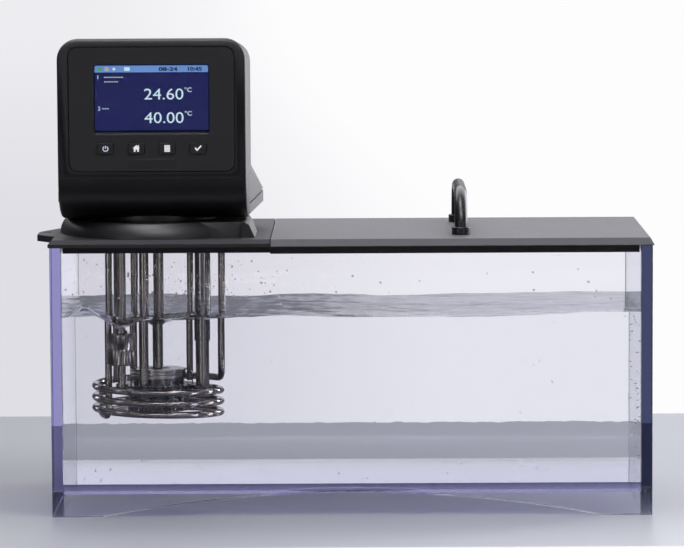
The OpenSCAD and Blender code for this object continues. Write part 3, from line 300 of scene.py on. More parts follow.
def lit_panel(name, low, high, strength, pixel=2.0):
    """A lit area of the display, or printed ink given a painted glow: its colour drifts a little over the panel,
    as a backlight's does.
    """
    made, tree = new_material(name)
    place = add(tree, "ShaderNodeTexCoord").outputs["Object"]
    drift = add(tree, "ShaderNodeTexNoise", {"Scale": per_mm(pixel), "Detail": 1.0}, {"Vector": place})
    shade = add(
        tree, "ShaderNodeMix", {6: linear(low), 7: linear(high)}, {0: drift.outputs["Fac"]},
        data_type="RGBA")
    skin = add(
        tree, "ShaderNodeBsdfPrincipled",
        {"Base Color": linear("#050608"), "Roughness": 0.4, "Emission Strength": strength},
        {"Emission Color": shade.outputs[2]})
    add(tree, "ShaderNodeOutputMaterial", links={"Surface": skin.outputs[0]})
    return made


screen_navy = lit_panel("display_lit_navy", "#10154D", "#141A57", 1.0, 40)
screen_bar = lit_panel("display_lit_status_bar", "#5F86C8", "#6C93D0", 1.0, 30)
screen_white = lit_panel("display_lit_digits", "#C4DEE9", "#D0E8F0", 1.0, 3)
screen_ink = lit_panel("display_dark_digits", "#081226", "#0C1830", 1.0, 3)
screen_green = lit_panel("display_lit_green", "#3F8F4E", "#57A860", 1.0, 3)
screen_amber = lit_panel("display_lit_amber", "#C9A06A", "#D9B684", 1.0, 3)
# The keys' printed symbols are glowing panels: painted light stands in for the light falling on the white and
# pale-blue ink.
glowing_print_white = lit_panel("ink_printed_white_painted_glow", "#E4E5EC", "#F2F2F6", 0.9, 1)
glowing_print_pale_blue = lit_panel("ink_printed_pale_blue_painted_glow", "#CDD0F2", "#DADCF8", 0.9, 1)

FINISH = {
    "acrylic": cast_acrylic,
    "acrylic_edge": end_acrylic,
    "cover_plastic": base_abs,
    "lid_plastic": lid_abs,
    "skirt_plastic": skirt_abs,
    "handle_plastic": handle_nylon,
    "head_plastic": head_abs,
    "fascia_plastic": fascia_abs,
    "key_plastic": key_rubber,
    "bearing_plastic": bearing_pom,
    "switch_plastic": switch_pa,
    "steel": tube_steel,
    "screw_steel": zinc_steel,
    "motor_paint": motor_enamel,
    "cast_alloy": aluminium,
    "bronze": bronze,
    "window": display_glass,
    "screen": screen_navy,
    "circuit_board": board_mask,
}
# Nodes whose finish differs from that of the rest of their slot
SPECIAL_FINISH = {
    "right_end_wall": navy_acrylic,
    "bridge_plate": bridge_abs,
    "chin_cover": chin_abs_painted_shade,
    "pump_cover": satin_steel,
    "float_body": tube_steel,
    "float_stops": turned_steel,
    "column_sleeve": turned_steel,
    "mounting_plate": turned_steel,
    "pump_body": cast_steel,
}


def finish_of(node):
    return SPECIAL_FINISH.get(node, FINISH[SLOT_OF[node]])


for name, node in NODES.items():
    node.data.materials.clear()
    node.data.materials.append(finish_of(name))


# Making pieces

def make_piece(name, bm, body, finish, replaced=(), sharp=35):
    """Turns a bmesh into a smooth-shaded piece that rides on a CAD body."""
    mesh = bpy.data.meshes.new(name)
    bm.to_mesh(mesh)
    bm.free()
    mesh.shade_smooth()
    mesh.set_sharp_from_angle(angle=math.radians(sharp))
    mesh.materials.append(finish)
    piece = bpy.data.objects.new(name, mesh)
    bpy.context.scene.collection.objects.link(piece)
    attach(piece, body)
    if replaced:
        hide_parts(*replaced)
    return piece


def soften(piece, width, sharp=35, segments=2):
    """Rounds a piece's edges by a width in millimetres."""
    rounding = piece.modifiers.new("edge_rounding", "BEVEL")
    rounding.width = width * MM
    rounding.segments = segments
    rounding.limit_method = "ANGLE"
    rounding.angle_limit = math.radians(sharp)
    rounding.harden_normals = True
    rounding.use_clamp_overlap = True
    return piece


def merged_copy(node):
    """A CAD node's mesh as a bmesh, with its loose triangles joined up and its flat faces made whole."""
    bm = bmesh.new()
    bm.from_mesh(NODES[node].data)
    bmesh.ops.remove_doubles(bm, verts=bm.verts, dist=0.002 * MM)
    bmesh.ops.dissolve_limit(bm, angle_limit=math.radians(0.4), verts=bm.verts, edges=bm.edges)
    return bm


def dressed(node, rounding=0.4, sharp=35, change=None):
    """A smooth piece with rounded edges that stands for a CAD node."""
    bm = merged_copy(node)
    if change:
        change(bm)
    piece = make_piece(
        node + "_dressed", bm, NODES[node]["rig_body"], finish_of(node), [node], sharp)
    if rounding:
        soften(piece, rounding, sharp)
    return piece


def corners(node):
    low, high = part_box(node)
    return low / MM, high / MM


# Tank: five acrylic sheets, each a hair short of the ones it is glued to

GLUE_FILM = 0.02


def drawn_in(*axes):
    """Draws a sheet's two ends along each axis in by the thickness of the glue film."""
    def change(bm):
        for axis in axes:
            middle = sum((v.co[axis] for v in bm.verts)) / len(bm.verts)
            for v in bm.verts:
                v.co[axis] += GLUE_FILM * MM * (1 if v.co[axis] < middle else -1)
    return change


dressed("left_end_wall", 0.35)
dressed("right_end_wall", 0.35)
dressed("front_panel", 0.25, change=drawn_in(0))
dressed("back_panel", 0.25, change=drawn_in(0))
dressed("tank_floor", 0.15, change=drawn_in(0, 1))

# Water

front_low, front_high = corners("front_panel")
back_low, back_high = corners("back_panel")
floor_low, floor_high = corners("tank_floor")
shaft_low, shaft_high = corners("drive_shaft")
shaft_x, shaft_y = (shaft_low.x + shaft_high.x) / 2, (shaft_low.y + shaft_high.y) / 2
# The water reaches this far into the sheets, so that no film of air lies between them
WETTING = 0.1
WATER_LEVEL = 166.0
# The hollow that the turning shaft draws in the surface
HOLLOW_DEPTH = 11
HOLLOW_REACH = 11
# Ripples: height, length along x and along y, in millimetres, and a place in the noise for each
RIPPLES = [(2.6, 48, 26, 1.7), (1.5, 21, 12, 5.1), (0.6, 8, 6, 9.3)]
# How far from the shaft the ripples stay strong, and their shares of full height far off and added near it
STIRRED_REACH = 110
STIR_SHARES = (0.3, 1.15)
# Swells and hollows in the water: x, y, height, reach along x and along y, in millimetres
SWELLS = [
    (-214, -95, 8.0, 11, 30),
    (-186, -96, -8.5, 12, 26),
    (-157, -19, -3.5, 60, 60),
    (-118, 40, -3.0, 40, 50),
    (-60, -90, 1.5, 50, 40),
    (60, 80, -1.5, 60, 40),
    (230, -95, 4.0, 70, 60),
    (200, 95, 0.8, 80, 40),
]


def water_height(x, y):
    """Height of the water's surface: the pump stirs it, so it swells, dips round the shaft and ripples."""
    height = WATER_LEVEL
    for swell_x, swell_y, rise, reach_x, reach_y in SWELLS:
        height += rise * math.exp(-((x - swell_x) / reach_x) ** 2 - ((y - swell_y) / reach_y) ** 2)
    away = math.hypot(x - shaft_x, y - shaft_y)
    height -= HOLLOW_DEPTH * math.exp(-(away / HOLLOW_REACH) ** 1.2)
    stir = STIR_SHARES[0] + STIR_SHARES[1] * math.exp(-(away / STIRRED_REACH) ** 2)
    for tall, long_x, long_y, place in RIPPLES:
        height += stir * tall * noise.noise(Vector((x / long_x, y / long_y, place)))
    return height


def make_water():
    columns, rows = 300, 120
    left, right = floor_low.x - WETTING, floor_high.x + WETTING
    front, back = front_high.y - WETTING, back_low.y + WETTING
    bottom = floor_high.z - WETTING
    bm = bmesh.new()
    bmesh.ops.create_grid(bm, x_segments=columns, y_segments=rows, size=1)
    for v in bm.verts:
        x = left + (right - left) * (v.co.x + 1) / 2
        y = front + (back - front) * (v.co.y + 1) / 2
        v.co = Vector((x, y, water_height(x, y))) * MM
    rim = [e for e in bm.edges if e.is_boundary]
    hung = bmesh.ops.extrude_edge_only(bm, edges=rim)["geom"]
    for v in hung:
        if isinstance(v, bmesh.types.BMVert):
            v.co.z = bottom * MM
    bmesh.ops.holes_fill(bm, edges=[e for e in bm.edges if e.is_boundary], sides=0)
    bmesh.ops.recalc_face_normals(bm, faces=bm.faces)
    return make_piece("bath_water", bm, "bath", bath_water, sharp=60)


make_water()

# Plates and base

dressed("bridge_plate", 0.5, 25)
dressed("mounting_plate", 0.2)
dressed("base_housing", 0.5)
dressed("corner_cover", 0.6)

# Lid

dressed("lid_plate", 0.5, 25)


# How far the skirt reaches left in the scene, and how deep its left face is taken to be
SKIRT_REACH = 0.5
SKIRT_FACE = 0.1


def reaching_left(bm):
    """Brings the skirt's left face close to the bridge's plug, so that no light shows between them."""
    left = min(v.co.x for v in bm.verts)
    for v in bm.verts:
        if v.co.x < left + SKIRT_FACE * MM:
            v.co.x -= SKIRT_REACH * MM


dressed("lid_skirt", 0.2, change=reaching_left)
dressed("lid_handle", 0.0)
dressed("handle_collars", 0.7)

# Immersed parts

DOUBLES = 0.002 * MM
# Rings cut round the heater's legs: how many, how far apart, and how near the top a face is an end cap
LEG_RINGS = 8
RING_STEP = 15
CAP_DEPTH = 0.1
LEG_LENGTH_AT_LEAST = 40
# What the subdivision draws in on the tube, in millimetres
DRAWN_BY_SUBDIVISION = 0.17

for immersed in ("pump_column_front", "pump_column_rear", "sleeved_column_tube", "column_sleeve",
                 "temperature_probe", "probe_clip", "float_stem", "float_stops", "drive_shaft"):
    dressed(immersed, 0.2)
dressed("pump_cover", 0.35)
dressed("pump_body", 0.5)
dressed("float_body", 0.3, 25)


def swollen(by):
    """Pushes a mesh outwards along its normals, to make up for what a subdivision surface draws in."""
    def change(bm):
        bm.normal_update()
        for v in bm.verts:
            v.co += v.normal * by * MM
    return change


def make_heater():
    bm = bmesh.new()
    bm.from_mesh(NODES["heater_coil"].data)
    bmesh.ops.remove_doubles(bm, verts=bm.verts, dist=DOUBLES)
    bmesh.ops.join_triangles(
        bm, faces=[f for f in bm.faces if len(f.verts) == 3], angle_face_threshold=math.radians(60),
        angle_shape_threshold=math.radians(180))
    # Rings on the legs keep the subdivision from pulling them thin; the ends are open, hidden at the plate
    top = max(v.co.z for v in bm.verts)
    bmesh.ops.delete(
        bm, geom=[f for f in bm.faces if all(v.co.z > top - CAP_DEPTH * MM for v in f.verts)],
        context="FACES")
    coil_top = max(v.co.z for v in bm.verts if v.co.z < top - LEG_LENGTH_AT_LEAST * MM)
    for step in range(LEG_RINGS):
        bmesh.ops.bisect_plane(
            bm, geom=list(bm.verts) + list(bm.edges) + list(bm.faces), dist=1e-6,
            plane_co=(0, 0, coil_top + (1 + RING_STEP * step) * MM), plane_no=(0, 0, 1))
    swollen(DRAWN_BY_SUBDIVISION)(bm)
    coil = make_piece(
        "heater_coil_dressed", bm, "bath", tube_steel, ["heater_coil"], 70)
    smooth = coil.modifiers.new("round_tube", "SUBSURF")
    smooth.levels = smooth.render_levels = 2
    return coil


make_heater()

# Splashes, air bubbles and glue joints

def beads(name, places, finish, flat, body="bath"):
    """Small rounded beads: each has a middle, the way it faces and a radius, in millimetres."""
    bm = bmesh.new()
    for middle, facing, radius in places:
        turned = Vector(facing).to_track_quat("Z", "Y").to_matrix().to_4x4()
        bmesh.ops.create_icosphere(
            bm, subdivisions=2, radius=radius * MM,
            matrix=Matrix.Translation(Vector(middle) * MM) @ turned @ Matrix.Diagonal((1, 1, flat, 1)))
    return make_piece(name, bm, body, finish)


draw = random.Random(7)
AIR_ABOVE = WATER_LEVEL + 5
RIM_UNDERSIDE = 219.0
SPLASHES, NEAR_PUMP, PUMP_SPREAD = 330, 260, 62
DROPS_PER_TUBE = 22
PROBE_RADIUS = 2.8
WALL_BUBBLES, END_BUBBLES, GLUE_BUBBLES = 230, 40, 110


def splashes():
    """Splashed drops on the inside of the front sheet, thickest near the pump."""
    made = []
    for i in range(SPLASHES):
        if i < NEAR_PUMP:
            x = draw.gauss(shaft_x, PUMP_SPREAD)
        else:
            x = draw.uniform(floor_low.x + 4, floor_high.x - 4)
        if floor_low.x + 3 < x < floor_high.x - 3:
            z = draw.triangular(AIR_ABOVE, RIM_UNDERSIDE, AIR_ABOVE + 14)
            made.append(((x, front_high.y, z), (0, 1, 0), 0.35 + 0.75 * draw.random() ** 3))
    return made


def drops_on_tubes():
    """Drops that cling to the columns above the water."""
    made = []
    tubes = ("pump_column_front", "pump_column_rear", "column_sleeve", "temperature_probe", "float_stem")
    for column in tubes:
        low, high = corners(column)
        reach = (high.y - low.y) / 2
        middle_x, middle_y = (low.x + high.x) / 2, (low.y + high.y) / 2
        # The node holds two probes: the drops are on the one at its far corner
        if column == "temperature_probe":
            reach = PROBE_RADIUS
            middle_x, middle_y = high.x - reach, high.y - reach
        for i in range(DROPS_PER_TUBE):
            bearing = draw.uniform(-1.3, 1.3)
            facing = Vector((math.sin(bearing), -math.cos(bearing), 0))
            place = Vector((middle_x, middle_y, draw.uniform(AIR_ABOVE, RIM_UNDERSIDE))) + facing * reach
            made.append((place, facing, 0.35 + 0.6 * draw.random() ** 2))
    return made


def air_bubbles():
    """Air bubbles that cling to the walls and the floor under water."""
    made = []
    for i in range(WALL_BUBBLES):
        radius = 0.2 + 0.45 * draw.random() ** 2
        x = draw.uniform(floor_low.x + 3, floor_high.x - 3)
        if i % 3:
            z = draw.uniform(floor_high.z + 3, WATER_LEVEL - 6)
            made.append(((x, back_low.y - radius * 0.8, z), (0, -1, 0), radius))
        else:
            y = draw.uniform(front_high.y + 3, back_low.y - 3)
            made.append(((x, y, floor_high.z + radius * 0.8), (0, 0, 1), radius))
    for i in range(END_BUBBLES):
        radius = 0.3 + 0.4 * draw.random()
        made.append((
            (floor_high.x - radius * 0.8, draw.uniform(front_high.y + 3, back_low.y - 3),
             draw.uniform(floor_high.z + 3, WATER_LEVEL - 6)), (-1, 0, 0), radius))
    return made


def glue_bubbles():
    """Bubbles caught in the glue where the long sheets meet the end walls."""
    made = []
    for low, high in ((front_low, front_high), (back_low, back_high)):
        for x, side in ((low.x, 1), (high.x, -1)):
            for i in range(GLUE_BUBBLES):
                radius = 0.25 + 0.75 * draw.random() ** 2
                y = draw.uniform(low.y + 1, high.y - 1)
                z = draw.uniform(low.z + 1.5, high.z - 1.5)
                made.append(((x + side * 0.12, y, z), (side, 0, 0), radius))
    return made


beads("splash_drops", splashes(), droplet_water, 0.55)
beads("tube_drops", drops_on_tubes(), droplet_water, 0.6)
beads("air_bubbles", air_bubbles(), bubble_air, 1.0)
beads("glue_bubbles", glue_bubbles(), glue_air, 0.1)

# Head

dressed("head_bezel", 0.0, 50)
dressed("head_fascia", 0.35, 30)
dressed("side_shell", 0.25, 40)
dressed("chin_cover", 0.0, 45)
dressed("rear_shell", 0.6, 28)
dressed("power_inlet", 0.4)
dressed("inlet_pins", 0.3)
dressed("shell_screws", 0.4)

# Keys, with their printed symbols

face_low, face_high = corners("head_fascia")
KEYS = ("key_power", "key_home", "key_menu", "key_set")
for key in KEYS:
    dressed(key, 0.45)

INK = 0.05


def plate(bm, outline, front, thickness):
    """Adds a flat plate: an outline in X and Z, in millimetres, its front face at y = front."""
    loop = [bm.verts.new(Vector((x, front, z)) * MM) for x, z in outline]
    face = bm.faces.new(loop)
    grown = bmesh.ops.extrude_face_region(bm, geom=[face])["geom"]
    moved = [g for g in grown if isinstance(g, bmesh.types.BMVert)]
    bmesh.ops.translate(bm, verts=moved, vec=(0, thickness * MM, 0))


def bar(bm, x, z, width, height, front, thickness=INK):
    """Adds a flat rectangle with its middle at x, z."""
    left, right = x - width / 2, x + width / 2
    low, high = z - height / 2, z + height / 2
    plate(bm, [(left, low), (right, low), (right, high), (left, high)], front, thickness)


def arc_band(bm, x, z, radius, width, start, end, front, steps=28, thickness=INK):
    """Adds a flat band along an arc, its angles measured from straight up."""
    outer, inner = radius + width / 2, radius - width / 2
    angles = [math.radians(start + (end - start) * i / steps) for i in range(steps + 1)]
    ring = [(x + outer * math.sin(a), z + outer * math.cos(a)) for a in angles]
    ring += [(x + inner * math.sin(a), z + inner * math.cos(a)) for a in reversed(angles)]
    plate(bm, ring, front, thickness)


def close_up(bm):
    bmesh.ops.recalc_face_normals(bm, faces=bm.faces)
    return bm


def power_symbol(x, z, front):
    bm = bmesh.new()
    arc_band(bm, x, z, 2.05, 0.75, 32, 328, front)
    bar(bm, x, z + 1.25, 0.75, 2.3, front)
    return close_up(bm)


def house_symbol(x, z, front):
    bm = bmesh.new()
    plate(bm, [(x - 3.1, z + 0.2), (x, z + 3.0), (x + 3.1, z + 0.2), (x + 2.1, z + 0.2), (x - 2.1, z + 0.2)],
          front, INK)
    bar(bm, x - 1.4, z - 1.2, 1.4, 2.9, front)
    bar(bm, x + 1.4, z - 1.2, 1.4, 2.9, front)
    bar(bm, x, z - 0.3, 1.5, 1.1, front)
    bar(bm, x + 1.7, z + 2.0, 0.9, 1.6, front)
    return close_up(bm)


def sheet_symbol(x, z, front):
    bm = bmesh.new()
    for i in range(5):
        bar(bm, x, z + 2.3 - 1.15 * i, 4.6, 0.95, front)
    bar(bm, x - 2.15, z, 0.35, 5.5, front)
    bar(bm, x + 2.15, z, 0.35, 5.5, front)
    return close_up(bm)


def tick_symbol(x, z, front):
    bm = bmesh.new()
    plate(bm, [(x - 2.9, z + 0.1), (x - 1.9, z + 0.9), (x - 0.8, z - 0.6), (x + 2.2, z + 2.6),
               (x + 3.1, z + 1.8), (x - 0.8, z - 2.4)], front, INK)
    return close_up(bm)


# Each key's symbol and its ink: the ink's glow is painted light on the print.
SYMBOLS = (
    ("key_power", power_symbol, glowing_print_pale_blue),
    ("key_home", house_symbol, glowing_print_white),
    ("key_menu", sheet_symbol, glowing_print_white),
    ("key_set", tick_symbol, glowing_print_white),
)
for key, symbol, ink in SYMBOLS:
    low, high = corners(key)
    made = symbol((low.x + high.x) / 2, (low.z + high.z) / 2, low.y - 0.02)
    make_piece(key + "_symbol", made, NODES[key]["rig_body"], ink)

# Display: window, lit panel behind it, and what it shows

window_low, window_high = corners("display_window")
GLASS = 0.9
PANEL_GAP = 0.35


def slab(low, high):
    bm = bmesh.new()
    size, middle = high - low, (high + low) / 2
    bmesh.ops.create_cube(
        bm, size=1, matrix=Matrix.Translation(middle * MM) @ Matrix.Diagonal((size * MM).to_4d()))
    return bm


def window_slice(front, back):
    """A slice of the display window between two depths, with the window's own rounded outline."""
    bm = merged_copy("display_window")
    for v in bm.verts:
        v.co.y = (front if v.co.y / MM < (window_low.y + window_high.y) / 2 else back) * MM
    return bm


glass_back = window_low.y + GLASS
panel_front = glass_back + PANEL_GAP
make_piece(
    "display_window_pane", window_slice(window_low.y, glass_back), "controller", display_glass,
    ["display_window"])
make_piece(
    "display_lit_panel", window_slice(panel_front, window_high.y), "controller", screen_navy)

window_width = window_high.x - window_low.x
window_height = window_high.z - window_low.z
# Everything on the display is a thin layer in front of the lit panel
LAYER = 0.04
ICON_LAYER = 0.03
BAR_HEIGHT = 5.6
# The built-in figures are this share of their nominal size tall
FIGURE_SHARE = 0.73


def lettering(bm, text, x, z, height, front, width=None, bold=0.0):
    """Adds figures as a flat mesh, stretched to a width if one is given: x is their left edge, z their foot."""
    curve = bpy.data.curves.new("figures", "FONT")
    curve.body = text
    curve.resolution_u = 4
    curve.offset = bold
    shape = bpy.data.objects.new("figures", curve)
    bpy.context.scene.collection.objects.link(shape)
    bpy.context.view_layer.update()
    mesh = bpy.data.meshes.new_from_object(shape.evaluated_get(bpy.context.evaluated_depsgraph_get()))
    bpy.data.objects.remove(shape)
    before = set(bm.verts)
    bm.from_mesh(mesh)
    bpy.data.meshes.remove(mesh)
    fresh = [v for v in bm.verts if v not in before]
    left = min(v.co.x for v in fresh)
    scale = height / FIGURE_SHARE
    stretch = width / (max(v.co.x for v in fresh) - left) if width else scale
    for v in fresh:
        v.co = Vector((x + (v.co.x - left) * stretch, front, z + v.co.y * scale)) * MM


def shown(fraction_x, fraction_z):
    """A place on the display, as shares of its width from the left and of its height from the top."""
    return window_low.x + fraction_x * window_width, window_high.z - fraction_z * window_height


def on_display(name, finish, fill):
    bm = bmesh.new()
    fill(bm, panel_front - LAYER)
    bmesh.ops.recalc_face_normals(bm, faces=bm.faces)
    return make_piece("display_" + name, bm, "controller", finish)


def status_strip():
    """The top of the window's outline, down to the status bar's lower edge."""
    bm = window_slice(panel_front - LAYER, panel_front - LAYER / 4)
    bmesh.ops.bisect_plane(
        bm, geom=list(bm.verts) + list(bm.edges) + list(bm.faces), dist=1e-7,
        plane_co=(0, 0, (window_high.z - BAR_HEIGHT) * MM), plane_no=(0, 0, 1), clear_inner=True)
    bmesh.ops.holes_fill(bm, edges=[e for e in bm.edges if e.is_boundary], sides=0)
    return make_piece("display_status_bar", bm, "controller", screen_bar)


def white_figures(bm, front):
    for text, share in (("24.60", 0.525), ("40.00", 0.89)):
        x, z = shown(0.435, share)
        lettering(bm, text, x, z, 9.5, front, 32.4)
        x, z = shown(0.792, share - 0.115)
        lettering(bm, "°C", x, z, 3.7, front, 5.8, 0.012)
    for text, share in (("1", 0.205), ("2", 0.69)):
        x, z = shown(0.025, share)
        lettering(bm, text, x, z, 3.4, front, None, 0.006)
    for share_x, share_z, width in ((0.08, 0.18, 17), (0.08, 0.25, 13), (0.06, 0.665, 6)):
        x, z = shown(share_x, share_z)
        for i in range(int(width / 2)):
            bar(bm, x + 1 + 2 * i, z, 1.3, 0.7, front)


def dark_figures(bm, front):
    for text, share, width in (("08-24", 0.565, 15.5), ("10:45", 0.822, 11.6)):
        x, z = shown(share, 0.083)
        lettering(bm, text, x, z, 3.1, front - LAYER, width, 0.035)


def pale_icons(bm, front):
    x, z = shown(0.17, 0.053)
    plate(bm, [(x - 1.5, z), (x, z - 1.5), (x + 1.5, z), (x, z + 1.5)], front - LAYER, ICON_LAYER)
    x, z = shown(0.285, 0.053)
    bar(bm, x, z, 4.6, 3.0, front - LAYER, ICON_LAYER)


def green_icon(bm, front):
    x, z = shown(0.042, 0.053)
    arc_band(bm, x, z, 1.0, 1.6, 0, 350, front - LAYER, 24, ICON_LAYER)


def amber_icon(bm, front):
    x, z = shown(0.105, 0.053)
    arc_band(bm, x, z, 1.2, 1.0, 0, 350, front - LAYER, 24, ICON_LAYER)


status_strip()
on_display("white_figures", screen_white, white_figures)
on_display("dark_figures", screen_ink, dark_figures)
on_display("pale_icons", screen_white, pale_icons)
on_display("green_icon", screen_green, green_icon)
on_display("amber_icon", screen_amber, amber_icon)

# Bare plate under the keys, a shade darker than the fascia
plate_bm = slab(
    Vector((shaft_x - 20, face_low.y - 0.06, face_low.z + 4.4)),
    Vector((shaft_x + 19.5, face_low.y + 0.3, face_low.z + 12.0)))
soften(make_piece("fascia_bare_plate", plate_bm, "controller", key_rubber), 0.3)

# Stage, world, lamps and camera

# The table's far and near edges and half its width
FLOOR_FAR, FLOOR_NEAR, FLOOR_HALF = 528, -262, 700
floor_bm = bmesh.new()
bmesh.ops.create_grid(floor_bm, x_segments=1, y_segments=1, size=1)
for v in floor_bm.verts:
    v.co.x *= FLOOR_HALF * MM
    v.co.y = (FLOOR_FAR if v.co.y > 0 else FLOOR_NEAR) * MM


def table_top(name):
    """Matt laminate of the table: pale blue-grey with a very faint mottle, and painted light that makes it paler
    towards the front.
    """
    made, tree = new_material(name)
    place = add(tree, "ShaderNodeTexCoord").outputs["Object"]
    mottle = add(tree, "ShaderNodeTexNoise", {"Scale": per_mm(60), "Detail": 4.0}, {"Vector": place})
    depth = add(tree, "ShaderNodeSeparateXYZ", links={0: place}).outputs["Y"]
    # Painted light: the laminate turns paler towards the front edge, where more light falls.
    nearness = add(
        tree, "ShaderNodeMapRange", {"From Min": -40 * MM, "From Max": -240 * MM}, {"Value": depth},
        interpolation_type="SMOOTHSTEP")
    painted_light_near = add(
        tree, "ShaderNodeMix", {6: linear("#9EA0A8"), 7: linear("#B9BBC2")}, {0: nearness.outputs["Result"]},
        data_type="RGBA")
    share = add(tree, "ShaderNodeMath", {1: 0.15}, {0: mottle.outputs["Fac"]}, operation="MULTIPLY")
    shade = add(
        tree, "ShaderNodeMix", {7: linear("#A8AAB2")},
        {0: share.outputs[0], 6: painted_light_near.outputs[2]}, data_type="RGBA")
    skin = add(
        tree, "ShaderNodeBsdfPrincipled", {"Roughness": 0.38}, {"Base Color": shade.outputs[2]})
    add(tree, "ShaderNodeOutputMaterial", links={"Surface": skin.outputs[0]})
    return made


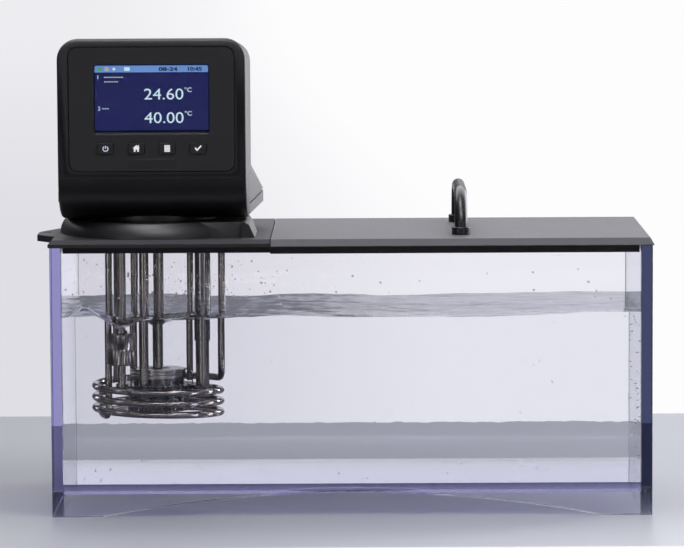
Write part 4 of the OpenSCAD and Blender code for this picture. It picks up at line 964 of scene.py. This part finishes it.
floor_mesh = bpy.data.meshes.new("table")
floor_bm.to_mesh(floor_mesh)
floor_bm.free()
floor_mesh.materials.append(table_top("laminate_table"))
table = bpy.data.objects.new("table", floor_mesh)
bpy.context.scene.collection.objects.link(table)
table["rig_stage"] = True


def build_world():
    """The backdrop, a little greyer at the left, for the camera and for rays that only pass through glass and
    water. Reflections and soft light see a dim studio instead: bright overhead and straight behind, strips of
    light on the camera's side with the dark between them, which give the steel its streaks, lights high in front
    and one at the right."""
    world = bpy.data.worlds.new("studio")
    bpy.context.scene.world = world
    world.use_nodes = True
    tree = world.node_tree
    tree.nodes.clear()
    way = add(tree, "ShaderNodeSeparateXYZ", links={0: add(tree, "ShaderNodeTexCoord").outputs["Generated"]})

    path = add(tree, "ShaderNodeLightPath")
    made = {axis: way.outputs[axis] for axis in "XYZ"}
    for name in ("Is Camera Ray", "Is Glossy Ray", "Is Transmission Ray", "Glossy Depth", "Diffuse Depth",
                 "Transmission Depth"):
        made[name] = path.outputs[name]

    # Each row is a value's name, what is done, and its inputs: numbers or the names of values above it. A slope
    # has its source, where it starts and ends, and the value before and after
    rows = [
        # Straight behind: bright below the horizon, which the edges of the acrylic sheets pipe through, and above
        # it at the right, where the calm water mirrors it. Rays that met more than four clear faces came off the
        # tank's floor, which mirrors the bright side all along
        ("near axis", "SLOPE", "Y", 0.96, 0.985, 0.0, 1.0),
        ("below", "SLOPE", "Z", -0.02, 0.03, 1.0, 0.0),
        ("lower", "MULTIPLY", "near axis", "below"),
        ("deep", "GREATER_THAN", "Transmission Depth", 4.5),
        ("inside", "GREATER_THAN", "Transmission Depth", 0.5),
        ("band foot", "SLOPE", "Z", 0.0, 0.04, 0.0, 1.0),
        ("band head", "SLOPE", "Z", 0.22, 0.4, 1.0, 0.0),
        ("band side", "SLOPE", "X", -0.05, 0.02, 0.1, 0.95),
        ("band depth", "SLOPE", "Y", 0.85, 0.92, 0.0, 1.0),
        ("band part", "MAXIMUM", "inside", 0.55),
        ("band height", "MULTIPLY", "band foot", "band head"),
        ("band reach", "MAXIMUM", "band side", "deep"),
        ("band face", "MULTIPLY", "band height", "band reach"),
        ("band back", "MULTIPLY", "band face", "band depth"),
        ("band", "MULTIPLY", "band back", "band part"),
        ("behind", "ADD", "lower", "band"),
        ("above", "SLOPE", "Z", 0.3, 0.9, 0.06, 0.45),
        ("soft level", "ADD", "behind", "above"),
        # Lights that only reflections see. High behind: the lid's top mirrors it at a grazing angle
        ("far side", "SLOPE", "Y", 0.1, 0.4, 0.0, 3.0),
        ("high up", "SLOPE", "Z", 0.32, 0.46, 0.0, 1.0),
        ("outer", "MULTIPLY", "far side", "high up"),
        ("outside", "LESS_THAN", "Transmission Depth", 0.5)]
    # Soft-edged lights: the sum each joins, its bearing (X), its height (Z), its half sizes, its slope along Y
    for sum_name, middle_x, middle_z, half_x, half_z, slope in (
            # At the right for the head's flank
            ("outer", 0.75, 0.12, 0.28, 0.3, (-0.1, 0.15, 0.0, 6.0)),
            # High in front for the base's dome
            ("outer", -0.15, 0.88, 0.2, 0.1, (-0.1, 0.1, 10.0, 0.0)),
            # High in front for the upper edges
            ("outer", 0.0, 0.6, 0.3, 0.12, (-0.4, -0.2, 4.0, 0.0)),
            # Two strips, two dim ones nearer the middle and a high light in front: the parts in the tank see them
            ("inner", -0.59, 0.0, 0.05, 0.2, (-0.3, -0.1, 3.6, 0.0)),
            ("inner", 0.52, 0.0, 0.04, 0.2, (-0.3, -0.1, 3.6, 0.0)),
            ("inner", -0.38, 0.0, 0.09, 0.25, (-0.4, -0.2, 0.6, 0.0)),
            ("inner", 0.2, 0.0, 0.09, 0.25, (-0.4, -0.2, 0.6, 0.0)),
            ("inner", 0.05, 0.55, 0.3, 0.16, (-0.4, -0.2, 3.6, 0.0))):
        if sum_name == "inner" and not any(row[0] == "inner" for row in rows):
            rows.append(("inner", "MULTIPLY", "outer", "outside"))
        rows += [
            ("off x", "SUBTRACT", "X", middle_x),
            ("size x", "ABSOLUTE", "off x"),
            ("share x", "SLOPE", "size x", half_x * 0.7, half_x * 1.3, 1.0, 0.0),
            ("off z", "SUBTRACT", "Z", middle_z),
            ("size z", "ABSOLUTE", "off z"),
            ("share z", "SLOPE", "size z", half_z * 0.7, half_z * 1.3, 1.0, 0.0),
            ("strength", "SLOPE", "Y", *slope),
            ("face", "MULTIPLY", "share x", "share z"),
            ("light", "MULTIPLY", "face", "strength"),
            (sum_name, "ADD", sum_name, "light")]
    rows += [
        ("mirrors", "MULTIPLY", "inner", "Is Glossy Ray"),
        ("level", "ADD", "soft level", "mirrors"),
        # The backdrop: greyer at the left and below
        ("rightward", "SLOPE", "X", -0.08, 0.03, 0.0, 1.0),
        ("upward", "SLOPE", "Z", -0.09, -0.03, 0.0, 0.45),
        ("white share", "ADD", "rightward", "upward"),
        ("brighter", "MULTIPLY_ADD", "Is Transmission Ray", 0.08, 1.0),
        # It is seen by the camera and by rays through glass and water that nothing has turned yet
        ("turns", "ADD", "Glossy Depth", "Diffuse Depth"),
        ("unturned", "LESS_THAN", "turns", 0.5),
        ("through", "MULTIPLY", "Is Transmission Ray", "unturned"),
        ("seen", "MAXIMUM", "Is Camera Ray", "through")]
    for name, operation, *inputs in rows:
        values = {slot: item for slot, item in enumerate(inputs) if not isinstance(item, str)}
        links = {slot: made[item] for slot, item in enumerate(inputs) if isinstance(item, str)}
        if operation == "SLOPE":
            made[name] = add(
                tree, "ShaderNodeMapRange", values, links, interpolation_type="SMOOTHSTEP").outputs["Result"]
        else:
            made[name] = add(tree, "ShaderNodeMath", values, links, operation=operation).outputs[0]
    studio = add(tree, "ShaderNodeBackground", {"Color": linear("#FAFAFF")}, {"Strength": made["level"]})
    backdrop = add(
        tree, "ShaderNodeMix", {6: linear("#DFDEE4"), 7: linear("#FDFDFE")}, {0: made["white share"]},
        data_type="RGBA")
    white = add(
        tree, "ShaderNodeBackground", links={"Color": backdrop.outputs[2], "Strength": made["brighter"]})
    mixed = add(
        tree, "ShaderNodeMixShader", links={0: made["seen"], 1: studio.outputs[0], 2: white.outputs[0]})
    add(tree, "ShaderNodeOutputWorld", links={"Surface": mixed.outputs[0]})


build_world()


def soft_box(name, place, aim, width, height, power):
    lamp = bpy.data.lights.new(name, "AREA")
    lamp.shape = "RECTANGLE"
    lamp.size, lamp.size_y = width, height
    lamp.energy = power
    held = bpy.data.objects.new(name, lamp)
    held.location = place
    held.rotation_euler = (Vector(aim) - Vector(place)).to_track_quat("-Z", "Y").to_euler()
    held.visible_glossy = False
    bpy.context.scene.collection.objects.link(held)


soft_box("soft_box_above", (0.0, 0.3, 2.0), (0, 0, 0.1), 1.8, 1.2, 8)
soft_box("soft_box_key", (1.1, -0.7, 1.5), (0, 0, 0.1), 1.0, 0.8, 24)
soft_box("soft_box_left", (-1.9, -0.9, 0.9), (0, 0, 0.2), 0.5, 1.4, 4)
soft_box("soft_box_right", (1.7, 0.85, 0.75), (0, 0, 0.25), 0.6, 1.0, 26)


# The camera: its place in metres, its turns in radians, and its focal length and width in the photo's pixels
CAMERA_PLACE = (0.01982, -3.3747, 0.52389)
CAMERA_TURNS = (0.0062, -0.0979, 0.0056)
FOCAL_PIXELS = 3966.4
PHOTO_WIDTH = 684
SENSOR = 36


def place_camera():
    """The camera found by fitting the tank's edges in the photograph."""
    yaw, pitch, roll = CAMERA_TURNS
    turn = Matrix.Rotation(yaw, 3, "Z") @ Matrix.Rotation(pitch, 3, "X") @ Matrix.Rotation(roll, 3, "Y")
    camera = bpy.data.cameras.new("camera")
    camera.sensor_width = SENSOR
    camera.lens = FOCAL_PIXELS / PHOTO_WIDTH * SENSOR
    camera.clip_start, camera.clip_end = 0.1, 50
    held = bpy.data.objects.new("camera", camera)
    right, forward, up = turn.col[0], turn.col[1], turn.col[2]
    facing = Matrix((right, up, -forward)).transposed().to_4x4()
    held.matrix_world = Matrix.Translation(CAMERA_PLACE) @ facing
    bpy.context.scene.collection.objects.link(held)
    bpy.context.scene.camera = held


place_camera()

scene = bpy.context.scene
scene.view_settings.view_transform = "Standard"
# Clear sheets and water lie behind one another, so light needs many turns to get through them
scene.cycles.max_bounces = 24
scene.cycles.transmission_bounces = 24
scene.cycles.glossy_bounces = 8
scene.cycles.transparent_max_bounces = 32

low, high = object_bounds()
